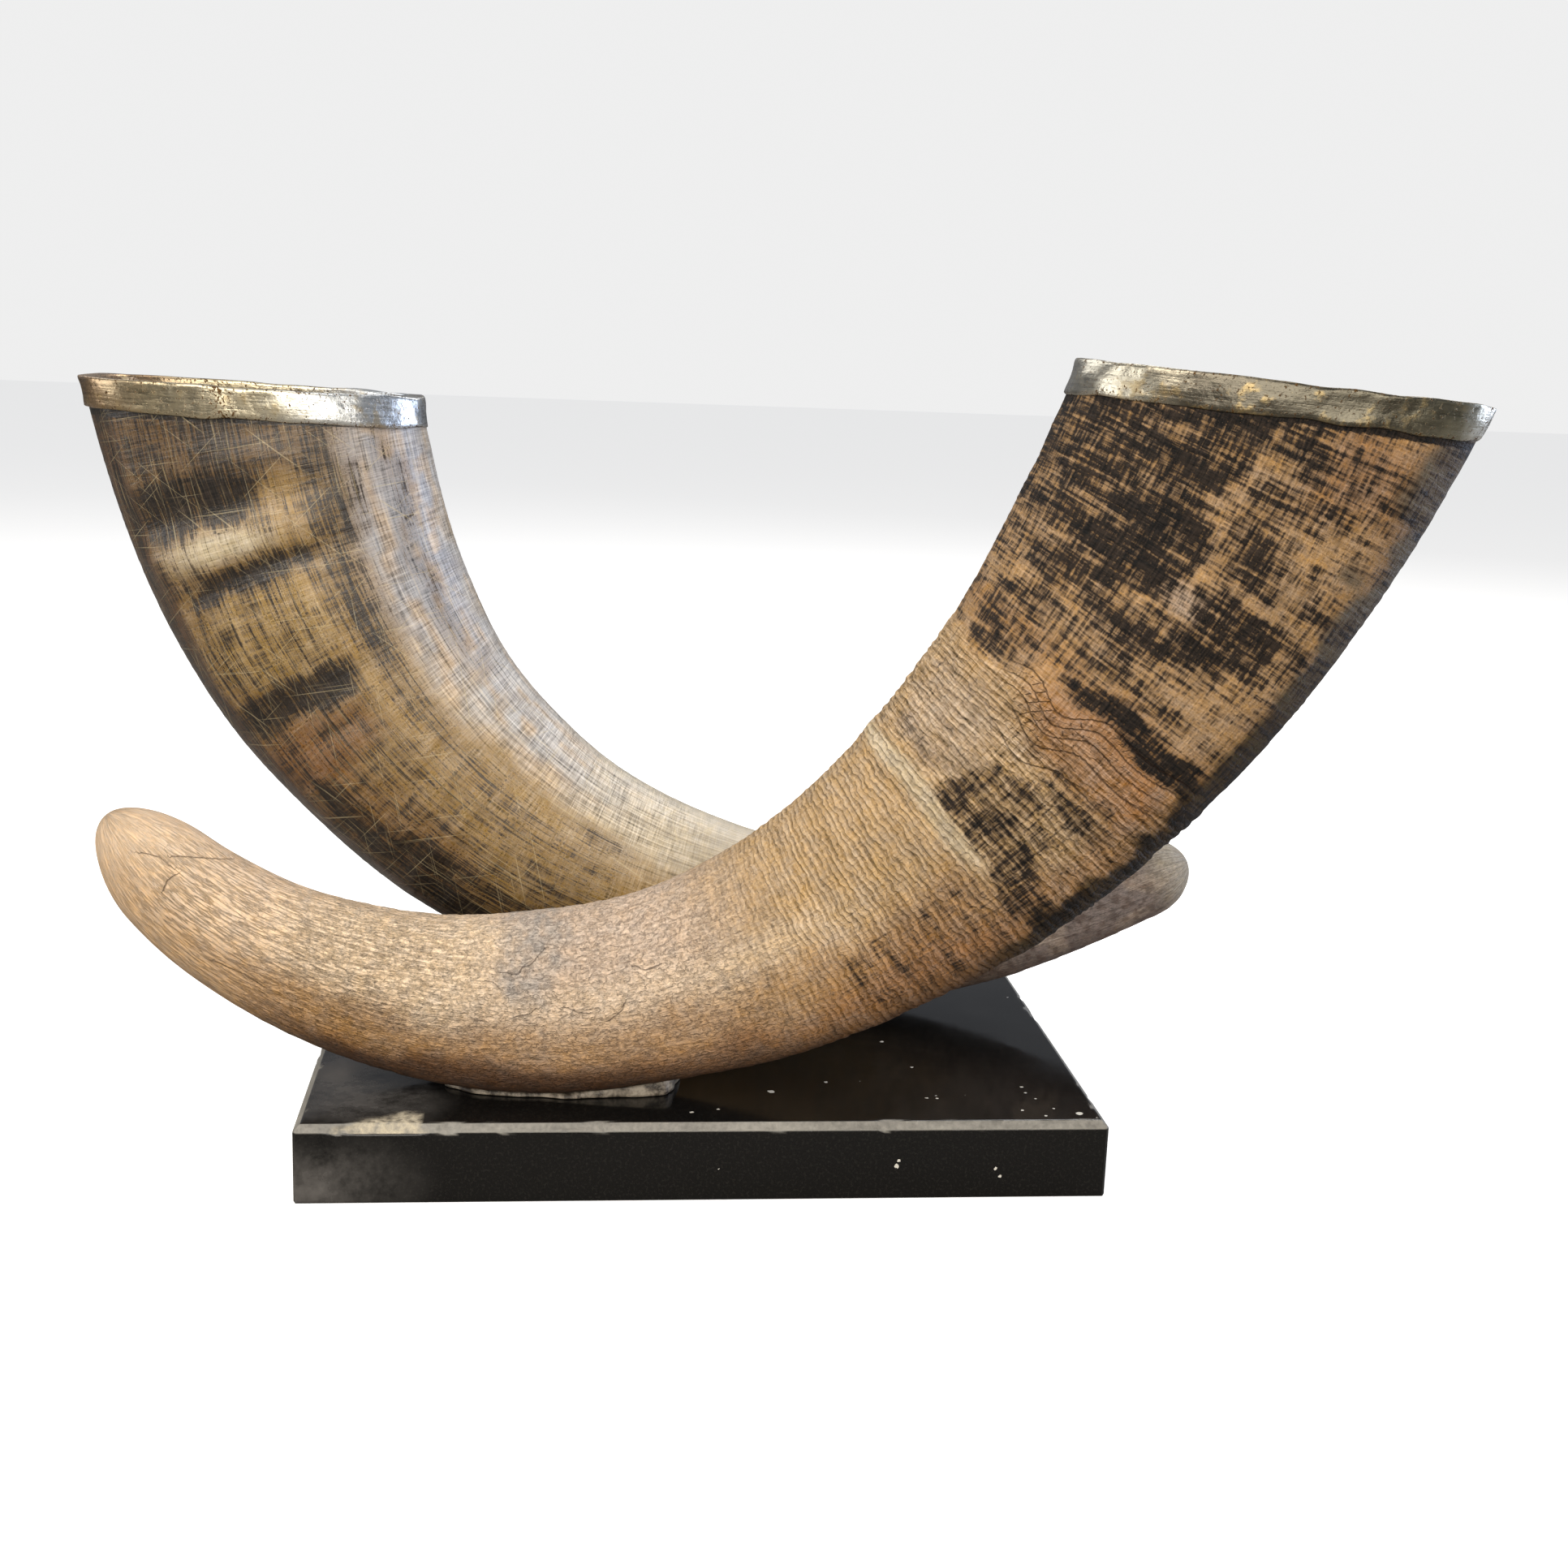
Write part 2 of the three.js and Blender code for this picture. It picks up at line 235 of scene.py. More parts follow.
# %% Spine
def prepare(horn):
    """Walks the spine in steps of 1 mm: each step turns by one over the bend radius."""
    fine = np.arange(0, horn["length"] + 1.0)
    shares = np.linspace(0, 1, len(horn["bend_radius"]))
    bend = np.interp((fine[:-1] + 0.5) / horn["length"], shares,
                     1 / np.array(horn["bend_radius"], float))
    angle = np.radians(horn["start_angle"]) + np.concatenate([[0], np.cumsum(bend)])
    heading = (angle[1:] + angle[:-1]) / 2
    run = horn["tip"][0] + np.concatenate([[0], np.cumsum(np.cos(heading))])
    height = horn["tip"][1] + np.concatenate([[0], np.cumsum(np.sin(heading))])
    swing, slope = np.radians(horn["swing"]), np.radians(horn["mouth_slope"])
    direction = np.array([np.cos(swing), np.sin(swing), 0]) * horn["along"]
    start = np.array([0, horn["plane_y"], 0.0])
    mouth = start + direction * horn["mouth_at"][0] + (0, 0, horn["mouth_at"][1])
    ready = dict(horn, fine=fine, angle=angle, run=run, height=height, direction=direction,
                 start=start, mouth=mouth, mouth_up=np.array([-np.sin(slope), 0, np.cos(slope)]))
    spine_above = (spine(ready, fine)[0] - mouth) @ ready["mouth_up"]
    late = fine > horn["length"] * PAST_BEND
    ready["mouth_away"] = np.interp(0, spine_above[late], fine[late])
    return ready


def spine(horn, s):
    """Middle, inner side and near side of the horn's section at a distance from the tip."""
    angle = np.interp(s, horn["fine"], horn["angle"])[..., None]
    run = np.interp(s, horn["fine"], horn["run"])[..., None]
    height = np.interp(s, horn["fine"], horn["height"])[..., None]
    up, along = np.array([0, 0, 1.0]), horn["direction"]
    heading = np.cos(angle) * along + np.sin(angle) * up
    inner = np.cos(angle) * up - np.sin(angle) * along
    near = np.cross(heading, inner) * horn["along"]
    return horn["start"] + run * along + height * up, inner, near


front, rear = prepare(FRONT), prepare(REAR)
print("along the spine:", round(front["mouth_away"]), "mm and", round(rear["mouth_away"]), "mm")

# %% [markdown]
# The skin and the wall of the hollow are the same section at two sizes, carried along the same
# spine.  The wall is thin at the mouth and thick at the floor of the hollow, where the bone
# core ended.  Both end on the slanting plane of the mouth, which every line along the horn
# meets at its own distance from the tip.

# %% Skin and hollow
def smooth(low, high, x):
    """0 below low, 1 above high, and an easy S-shaped rise between."""
    share = np.clip((x - low) / (high - low), 0, 1)
    return share * share * (3 - 2 * share)


def rounded_end(distance, run):
    """How far a rounded end has opened: the height of a quarter circle over its run."""
    left = 1 - np.clip(distance / run, 0, 1)
    return np.sqrt(1 - left * left)


def section(horn, s, turn, half_width, half_depth):
    """A point of the section: the cosine and sine of the turn, each raised to two over the
    squareness of its side, times the half width and half depth.  A tip is plainly oval."""
    middle, inner, near = spine(horn, s)
    c, d = np.cos(turn), np.sin(turn)
    squareness = np.where(c > 0, INSIDE_CURVE, OUTSIDE_CURVE)
    power = 2 / (2 + (squareness - 2) * smooth(5, 50, s))
    return (middle + (half_width * np.sign(c) * np.abs(c) ** power)[..., None] * inner
            + (half_depth * np.sign(d) * np.abs(d) ** power)[..., None] * near)


def through(values, share):
    """A smooth curve through evenly spaced values: on each stretch a cubic whose slope at a
    value is half the difference of its two neighbours."""
    values = np.asarray(values, float)
    last = len(values) - 1
    x = np.clip(share, 0, 1) * last
    i = np.minimum(x.astype(int), last - 1)
    f = x - i
    b, c = values[i], values[i + 1]
    a = np.where(i == 0, 2 * b - c, values[np.maximum(i - 1, 0)])
    d = np.where(i == last - 1, 2 * c - b, values[np.minimum(i + 2, last)])
    return 0.5 * (2 * b + (c - a) * f + (2 * a - 5 * b + 4 * c - d) * f * f
                  + (3 * b - 3 * c + d - a) * f ** 3)


def half_sizes(horn, s):
    """Half the width and half the depth of the horn at a distance from its tip."""
    half_width = through(horn["width"], s / horn["length"]) / 2
    return half_width, half_width * through(FLATNESS, s / horn["length"])


def skin(horn, s, turn, grow=0.0):
    """The horn's outer skin, grown outwards by a distance."""
    half_width, half_depth = half_sizes(horn, s)
    opened = rounded_end(s, horn["tip_round"])
    return section(horn, s, turn, (half_width + grow) * opened, (half_depth + grow) * opened)


def hollow_wall(horn, s, turn, shrink=0.0):
    """The wall of the hollow that the bony core left, drawn inwards by a distance."""
    half_width, half_depth = half_sizes(horn, s)
    above = s - (horn["mouth_away"] - HOLLOW_DEPTH)
    wall = FLOOR_WALL + (MOUTH_WALL - FLOOR_WALL) * np.clip(above / HOLLOW_DEPTH, 0, 1) + shrink
    opened = rounded_end(above, FLOOR_ROUND)
    return section(horn, s, turn, (half_width - wall) * opened, (half_depth - wall) * opened)


def reach(horn, surface, turn, below, amount=0.0):
    """How far from the tip each line along a surface meets the plane that lies below the
    mouth's: the gap to the plane is halved 40 times."""
    low = np.full(np.shape(turn), horn["length"] * PAST_BEND)
    high = np.full(np.shape(turn), float(horn["length"]))
    for _ in range(40):
        middle = (low + high) / 2
        short = (surface(horn, middle, turn, amount) - horn["mouth"]) @ horn["mouth_up"] < -below
        low, high = np.where(short, middle, low), np.where(short, high, middle)
    return (low + high) / 2


edges = reach(front, skin, np.array([0, np.pi]), 0)
print("the front horn's inner and outer lines meet its mouth after", edges.round(1), "mm")

# %% [markdown]
# ## Where things are on a horn
# Marks on a horn follow its growth, so they are placed by two measures: the distance from the
# tip, and the share of the way round from the inside of the bend (0) to the outside (1).  The
# turns are spaced so that the points stand evenly round the section.  A third measure wraps
# the horn round an even cylinder, so that noise has no seam.

# %% Points round a horn
AROUND = 112   # points in a ring
CYLINDER = 45  # mm, radius of the even cylinder


def even_turns(horn, s, count):
    """Turns whose points stand evenly round the section: its running length, inverted."""
    fine = np.linspace(0, 2 * np.pi, 4001)
    ring = skin(horn, np.full(fine.shape, float(s)), fine)
    run = np.concatenate([[0], np.cumsum(np.linalg.norm(np.diff(ring, axis=0), axis=1))])
    return np.interp(np.linspace(0, run[-1], count, endpoint=False), run, fine)


def measures(points, s):
    """Share round from the inner edge, length round in mm, and the place on the cylinder."""
    steps = np.linalg.norm(np.roll(points, -1, 1) - points, axis=-1)
    run = np.cumsum(steps, 1) - steps
    whole = np.maximum(steps.sum(1, keepdims=True), 1e-6)
    full = run / whole * 2
    around = np.where(full > 1, 2 - full, full)
    wrapped = np.stack([s, CYLINDER * np.cos(np.pi * full), CYLINDER * np.sin(np.pi * full)], -1)
    return around, around * whole / 2, wrapped


ring = skin(front, np.full(AROUND, 300.0), even_turns(front, 300, AROUND))
steps = np.linalg.norm(np.diff(ring, axis=0), axis=1)
print(AROUND, "points in a ring,", steps.min().round(2), "to", steps.max().round(2), "mm apart")

# %% [markdown]
# Rings stand about a millimetre apart, and closer where the horn is ridged.  The last ring of
# the skin and the first of the hollow lie in one plane, just under the metal of the rim, so
# that the two grids join there.

# %% Grids of skin and hollow
FINE_FROM, FINE_FROM_REAR = 245, 300  # mm from the tip, where the rings come closer together
STEP, FINE_STEP = 1.05, 0.68  # mm between two rings of the skin
TIP_RINGS, FLOOR_RINGS, WALL_RINGS = 22, 12, 34


def horn_rows(horn, fine_from):
    """Distances from the tip: close together in the rounded tip, then a row about every
    millimetre, and closer still where the horn is ridged."""
    opening = horn["tip_round"] * (1 - np.cos(np.linspace(0, np.pi / 2, TIP_RINGS)))
    coarse = np.arange(horn["tip_round"] + STEP, fine_from, STEP)
    return np.concatenate([opening, coarse, np.arange(fine_from, horn["mouth_away"], FINE_STEP)])


def outer_grid(horn, fine_from):
    """Rings of the skin.  Past the middle they lean more and more, to end on the mouth."""
    turns = even_turns(horn, horn["length"] * PAST_BEND, AROUND)
    ends = reach(horn, skin, turns, METAL + GAP)
    rows = horn_rows(horn, fine_from)
    lean = smooth(0.5, 1, rows / rows[-1])[:, None]
    s = rows[:, None] + lean * (ends - rows[-1])
    turn = np.broadcast_to(turns, s.shape)
    return s, turn, skin(horn, s, turn), ends


def inner_grid(horn):
    """Rings of the hollow, from the mouth down to its floor."""
    turns = even_turns(horn, horn["length"] * PAST_BEND, AROUND)
    ends = reach(horn, hollow_wall, turns, METAL + GAP)
    bottom = horn["mouth_away"] - HOLLOW_DEPTH
    rounding = bottom + FLOOR_ROUND * (1 - np.cos(np.linspace(0, np.pi / 2, FLOOR_RINGS)))
    shares = np.linspace(0, 1, WALL_RINGS)[1:, None]
    s = np.concatenate([
        np.broadcast_to(rounding[:, None], (FLOOR_RINGS, AROUND)),
        rounding[-1] + shares * (ends - rounding[-1])])[::-1]
    return s, hollow_wall(horn, s, np.broadcast_to(turns, s.shape))


def outward(points):
    """Unit normals of a grid of rings: the cross product of its two directions."""
    down = np.gradient(points, axis=0)
    round_ = np.roll(points, -1, 1) - np.roll(points, 1, 1)
    normal = np.cross(down, round_)
    normal /= np.maximum(np.linalg.norm(normal, axis=-1, keepdims=True), 1e-9)
    centre = points.mean(1, keepdims=True)
    flip = np.sign(np.sum((points - centre) * normal, -1).mean(1))
    return normal * flip[:, None, None]


print("rings of", AROUND, "points:", len(horn_rows(front, FINE_FROM)), "on the front horn and",
      len(horn_rows(rear, FINE_FROM_REAR)), "on the rear horn")

# %% [markdown]
# ## Cracks
# A crack is a short bent line.  Each point of the skin is told how far it lies from the
# nearest crack, with a plus on one side and a minus on the other.  Such a number runs evenly
# across the crack, so it can be read between points that stand wider apart than the crack is
# wide, and the material draws the line where it passes zero.

# %% Crack measure
CRACK_REACH = 5.0  # mm to each side, past which a crack is not drawn
FAR = 99.0  # mm, the distance that stands for no crack at all


def crack_measure(s, across, cracks):
    """Signed distance in mm to the nearest crack, and how open the crack is there.  A crack
    is a list of (distance from tip, mm round from the inner edge)."""
    nearest, opening = np.full(s.shape, FAR), np.zeros(s.shape)
    for crack in cracks:
        for (s0, a0), (s1, a1) in zip(crack, crack[1:]):
            run, rise = s1 - s0, a1 - a0
            share = ((s - s0) * run + (across - a0) * rise) / (run * run + rise * rise)
            share = np.clip(share, 0, 1)
            gap_s, gap_a = s - s0 - share * run, across - a0 - share * rise
            distance = np.hypot(gap_s, gap_a)
            side = gap_s * rise - gap_a * run
            past_end = distance - np.abs(side) / np.hypot(run, rise)
            closer = distance < np.abs(nearest)
            nearest = np.where(closer, np.where(side < 0, -distance, distance), nearest)
            opening = np.where(closer, 1 - smooth(0.5, 2.5, past_end), opening)
    return nearest, opening * (np.abs(nearest) < CRACK_REACH)


beside = crack_measure(np.array([5.0, 5.0]), np.array([2.0, -2.0]), [[(0, 0), (10, 0)]])[0]
print("points 2 mm to either side of a crack read", beside)

# %% [markdown]
# ## Marks
# Where a surface changes, a number on each point of its mesh says how much.  Such marks could
# be painted by hand, but three functions are enough for all of them here: the easy rise that
# rounded the horn's section, a patch with soft edges, and random bumps of a real size.  The
# bumps also push the edges of the patches about, so that none looks drawn.

# %% Patches and bumps
LATTICE = 64  # random values along each side, after which the bumps repeat
SPREAD = 1.6  # blending pulls the values together, and this spreads them out again


def patch(x, y, box, soft_x, soft_y):
    """1 inside and 0 outside a round-cornered patch (x from, x to, y from, y to) with soft
    edges: the cubes of the two distances from its middle, each as a share of the half size,
    are added up, and the cube root is 1 on its outline."""
    x0, x1, y0, y1 = box
    half_x, half_y = (x1 - x0) / 2, (y1 - y0) / 2
    away_x, away_y = np.abs(x - x0 - half_x) / half_x, np.abs(y - y0 - half_y) / half_y
    soft = (soft_x * away_x / half_x + soft_y * away_y / half_y) / (away_x + away_y + 1e-6)
    return 1 - smooth(1 - soft, 1 + soft, np.cbrt(away_x ** 3 + away_y ** 3))


def bumps(points, cell, seed):
    """Soft random bumps from -1 to 1: a random value at each corner of a lattice of cells,
    blended smoothly between the eight corners around a point."""
    lattice = np.random.default_rng(seed).uniform(-1, 1, (LATTICE, LATTICE, LATTICE))
    scaled = points / np.asarray(cell, float)
    corner = np.floor(scaled).astype(int)
    share = scaled - corner
    share = share * share * (3 - 2 * share)
    blend = np.zeros(points.shape[:-1])
    for offset in np.ndindex(2, 2, 2):
        i, j, k = np.moveaxis((corner + offset) % LATTICE, -1, 0)
        weight = np.where(np.array(offset) == 1, share, 1 - share).prod(-1)
        blend += lattice[i, j, k] * weight
    return blend * SPREAD


walk = np.arange(0, 50, 10.0)[:, None] * (1, 1, 1)
print("bumps 25 mm wide, read every 10 mm:", bumps(walk, 25, 0).round(2))

# %% [markdown]
# ## Colours of horn
# Buffalo horn runs from cream through tans and browns to black, often within a few mm.  One
# flat texture wrapped round it would shrink at the tip.  So its colours are named once and
# laid over each other like thin washes, each with a mark that says how much a point gets.
# Most washes are patches in (distance from tip, share round), with their edges pushed about
# by bumps so that none is straight.

# %% Colours of horn
HORN = {name: np.array(linear(value)[:3]) for name, value in dict(
    buff="#DFC2A1", rose="#C9B39E", ochre="#A87F4D", gold="#B0946F", tan="#A27D54",
    bronze="#90754C", russet="#84573A", umber="#4A3222", black="#1A1410", olive="#35301B",
    grey="#AEA296", cream="#BDB197", sand="#AFA28B", mauve="#8F8078", ash="#A6A29D",
    slate="#8A8C94", yellow="#A68A58", pale="#F0D6B4").items()}


def painted(shape, layers):
    """Colours laid over each other: each layer is a horn colour and how much of it."""
    colour = np.ones((*shape, 3)) * HORN["tan"]
    for name, amount in layers:
        colour += (HORN[name] - colour) * np.clip(amount, 0, 1)[..., None]
    return np.concatenate([colour, np.ones((*shape, 1))], -1)


def most(s, around, patches, soft_s, soft_a):
    """The strongest of several patches at each point."""
    return np.max([strength * patch(s, around, box, soft_s, soft_a)
                   for *box, strength in patches], 0)


def wander(s, around, wrapped, seed, along, aside, fray):
    """A slow drift along the horn, a sway round it, and the two measures pushed by them."""
    drift, sway = bumps(wrapped, 26, seed), bumps(wrapped, (18, 22, 22), seed + 1)
    ss = s + along * drift + 1.5 * bumps(wrapped, (40, 6, 6), seed + 2)
    aa = around + aside * sway + fray * bumps(wrapped, (7, 40, 40), seed + 3)
    return drift, sway, ss, aa


print(len(HORN), "horn colours")

# %% [markdown]
# ## The front horn's surface
# This horn was never polished.  Its tip is worn smooth and pale, the middle is pebbly like
# old leather, and from there on the growth lines stand out as fine ribs.  Towards the mouth
# dark layers lie over tan ones and have worn through along the fibres and along the growth
# lines, which leaves a woven look.  Small ledges cross it where one dark layer ends over the
# next.

# %% Front horn marks
FRONT_BLACK = [
    # from, to (mm from the tip), from, to (share round), share that is dark
    (355, 386, 0.33, 0.56, 0.44), (353, 372, 0.50, 0.74, 0.56), (372, 400, 0.44, 0.70, 0.30),
    (357, 404, 0.08, 0.32, 0.16), (418, 428, 0.38, 0.78, 0.86), (411, 442, 0.12, 0.32, 0.64),
    (424, 462, 0.22, 0.50, 0.58), (434, 534, 0.12, 0.26, 0.68), (456, 536, 0.20, 0.43, 0.82),
    (455, 484, 0.40, 0.76, 0.54), (457, 480, 0.48, 0.68, 0.82), (478, 520, 0.46, 0.62, 0.56),
    (410, 474, -0.14, 0.13, 0.48), (466, 540, -0.14, 0.15, 0.66), (504, 548, -0.05, 0.44, 0.80),
    (520, 548, 0.30, 0.56, 0.58), (290, 354, 0.50, 0.76, 0.22)]
HALF_GIRTH = ((50, 150, 300), (69, 97, 129))  # mm from the tip, mm half round the horn there
FRONT_CRACKS = [  # distance from tip, share round
    [(47, 0.01), (44.5, 0.07), (40, 0.13), (36, 0.17), (31, 0.22), (28, 0.25)],
    [(34, 0.32), (33.2, 0.37), (34.6, 0.43)],
    [(19, 0.30), (25, 0.285), (31, 0.30)],
    [(185, 0.21), (181.5, 0.25), (180, 0.262), (177, 0.266), (175.5, 0.295), (170, 0.288)],
    [(162, 0.32), (166, 0.325), (168.5, 0.35)],
    [(174.5, 0.45), (179, 0.442), (182, 0.42)],
    [(193, 0.415), (198, 0.44), (201.5, 0.445)],
    [(210, 0.47), (214, 0.45), (215.5, 0.425)],
    [(222, 0.31), (226, 0.335), (232, 0.33)],
    [(64, 0.60), (75, 0.58), (83, 0.59)]]


def front_marks(s, around, across, wrapped, near_side):
    """Relief in mm, and the amounts of each colour, dark layer, rib and crack."""
    drift, sway, ss, aa = wander(
        s, around, wrapped, seed=1, along=4.0, aside=0.025, fray=0.006)
    ribbed = smooth(235, 300, ss) * (1 - smooth(404, 418, s))
    woven = smooth(352, 360, ss)
    pebbly = smooth(55, 120, s) * (1 - smooth(230, 300, s))
    rib = bumps(wrapped + np.array([2.2, 0, 0]) * sway[..., None], (1.45, 15, 15), 5)
    pebble = bumps(wrapped, (2.4, 4.5, 4.5), 6)
    block = bumps(wrapped, (8, 12, 12), 7)
    ragged = aa + 0.015 * drift + 0.022 * bumps(wrapped, (7, 9, 9), 10)
    outer = smooth(0.735, 0.76, ragged) * smooth(318, 360, s)
    # A ledge rises slowly to its lip and drops at once.  The lip is drawn like a crack, as a dark
    # line of painted shade under the drop.
    ledges, lip = np.zeros(s.shape), np.full(s.shape, FAR)
    for place, height in ((394, 0.3), (402, 0.5), (407.5, 0.7), (412, 0.9), (416.5, 0.8)):
        bend = s + 3.5 * bumps(wrapped, (60, 14, 14), 8) - place
        ledges += height * smooth(-5, 0, bend) * (1 - smooth(0, 1.2, bend))
        lip = np.where(np.abs(bend - 0.8) < np.abs(lip), bend - 0.8, lip)
    raised = patch(s, aa, (380, 440, 0.26, 0.76), 10, 0.06)
    ledges = ledges * (0.35 + 0.65 * raised)
    step = 0.55 * smooth(340, 353, ss) * (1 - smooth(354.5, 357.5, ss))
    cracks = [[(from_tip, share * np.interp(from_tip, *HALF_GIRTH)) for from_tip, share in crack]
              for crack in FRONT_CRACKS]
    # The cracks are on the near side: points of the far side are put out of their reach.
    crack, opening = crack_measure(s, np.where(near_side, across, 999), cracks)
    nearer = np.abs(lip) < np.abs(crack)
    crack, opening = np.where(nearer, lip, crack), np.where(nearer, 1.2 * raised, opening)
    keel = smooth(300, 420, s) * np.exp(-(((around - 0.755) / 0.022) ** 2))
    relief = (0.7 * bumps(wrapped, 45, 9) + 0.3 * drift * smooth(20, 60, s)
              + ribbed * 0.24 * rib + pebbly * 0.16 * pebble + woven * (0.22 * block + 0.1 * rib)
              + ledges + step + 0.9 * keel
              - 0.5 * opening * (1 - smooth(0, 1.6, np.abs(crack))))
    black = np.maximum.reduce([
        most(ss, aa, FRONT_BLACK, 3.2, 0.022),
        (0.43 - 0.12 * smooth(0.6, 0.72, aa)) * smooth(420, 430, s),
        (0.40 + 0.28 * (1 - smooth(440, 500, s))) * outer])
    tint = painted(s.shape, [
        ("buff", 1 - smooth(70, 150, ss)),
        ("rose", 0.9 * smooth(95, 165, ss) * (1 - smooth(270, 320, ss))),
        ("gold", smooth(225, 290, ss) * (1 - smooth(400, 430, ss))),
        # The next two washes, buff and pale on the upper side of the tip, are partly its own pale
        # tone and partly a painted sheen.
        ("buff", 0.55 * patch(ss, aa, (40, 175, 0.05, 0.42), 20, 0.06)),
        ("pale", 0.62 * patch(ss, aa, (82, 165, -0.1, 0.50), 24, 0.07)),
        ("pale", 0.34 * patch(ss, aa, (150, 300, 0.34, 0.54), 24, 0.06)),
        ("ochre", 0.7 * smooth(0.42, 0.60, aa) * (1 - smooth(190, 290, ss)) * smooth(20, 90, ss)),
        ("ochre", 0.4 * smooth(0.3, 0.6, aa) * smooth(2, 25, s) * (1 - smooth(20, 90, ss))),
        ("grey", 0.8 * patch(ss, aa, (166, 194, -0.1, 0.40), 5, 0.05) * (0.85 + 0.5 * pebble)),
        ("tan", 0.6 * patch(ss, aa, (195, 350, 0.50, 1.1), 25, 0.1)),
        # The cream line along the step is partly the horn's own pale edge and partly a painted
        # highlight on its lip.
        ("cream", 0.55 * patch(s + 3 * drift, aa, (349, 356.5, 0.0, 0.52), 2.5, 0.06)),
        ("grey", 0.3 * patch(ss, aa, (358, 400, 0.10, 0.32), 5, 0.04)),
        ("russet", 0.55 * patch(ss, aa, (394, 421, 0.34, 0.74), 7, 0.06)),
        ("gold", 0.5 * smooth(424, 434, ss)),
        ("russet", 0.4 * patch(ss, aa, (516, 552, 0.55, 0.76), 9, 0.07)),
        ("russet", 0.35 * patch(ss, aa, (295, 350, 0.50, 0.72), 18, 0.1)),
        ("russet", 0.45 * smooth(0.58, 0.70, aa) * smooth(60, 120, s) * (1 - smooth(380, 430, s))),
        ("rose", 0.6 * patch(ss, aa, (470, 479, 0.41, 0.50), 3, 0.015)),
        # The next umber wash is painted shade on the underside, where the horn lies close to the
        # slab.
        ("umber", 0.85 * smooth(0.60, 0.71, aa) * smooth(70, 120, s) * (1 - smooth(180, 300, s))),
        ("umber", 0.7 * smooth(0.68, 0.84, aa) * smooth(140, 240, s)),
        ("olive", 0.95 * outer),
        ("grey", 0.2 * outer * smooth(440, 500, ss))])
    return relief, tint, dict(
        black=black, ribs=ribbed * rib, pebbles=np.clip(pebbly + 0.25, 0, 1),
        ribbed=ribbed, crack=crack, opening=opening, polish=0.5 * (1 - smooth(30, 75, s)),
        wrinkles=(1 - smooth(120, 190, ss)) * (0.35 + 0.65 * smooth(8, 50, s)), weave=woven)


print(len(FRONT_BLACK), "dark patches and", len(FRONT_CRACKS), "cracks on the front horn")

# %% [markdown]
# ## The rear horn's surface
# This horn was scraped and polished.  Its fibres show as fine dark hairlines, its inner bend
# has a greyish gloss, its grey partly a thin film and partly a painted sheen, and near the mouth
# broad growth waves rise and sink, yellow on their crests and nearly black in their hollows.
# The black in the hollows is partly the horn's own dark bands and partly painted shade, and the
# cream of the highest crest is partly a painted highlight.  Its tip was left rough.

# %% Rear horn marks
# The dark patches in the hollows of the growth waves are partly the horn's dark bands and partly
# painted shade.
REAR_BLACK = [
    (386, 404, 0.43, 0.82, 0.84), (375, 384, 0.49, 0.64, 0.62), (419, 431, 0.61, 0.70, 0.80),
    (436, 449, 0.38, 0.74, 0.85), (461, 488, 0.46, 0.84, 0.86), (479, 512, 0.28, 0.82, 0.58),
    (300, 309, 0.58, 0.76, 0.50), (318, 328, 0.46, 0.76, 0.60), (339, 347, 0.48, 0.76, 0.52),
    (356, 364, 0.52, 0.76, 0.60), (285, 372, 0.62, 0.80, 0.72), (385, 500, 0.28, 0.42, 0.56),
    (440, 505, 0.25, 0.38, 0.66), (225, 330, 0.57, 0.80, 0.60), (380, 480, 0.150, 0.178, 0.56)]
REAR_WAVES = [  # middle and reach in mm from the tip, height in mm, share round from and to
    (456.5, 7.5, 2.2, 0.36, 0.80), (444, 4.5, -1.2, 0.38, 0.74), (470.5, 7, -1.5, 0.38, 0.80),
    (424, 12, 1.5, 0.38, 0.76), (394.5, 8, -1.3, 0.40, 0.80), (379, 4, -0.8, 0.46, 0.68),
    (366, 8, 0.8, 0.44, 0.80), (488, 8, 0.7, 0.36, 0.80)]


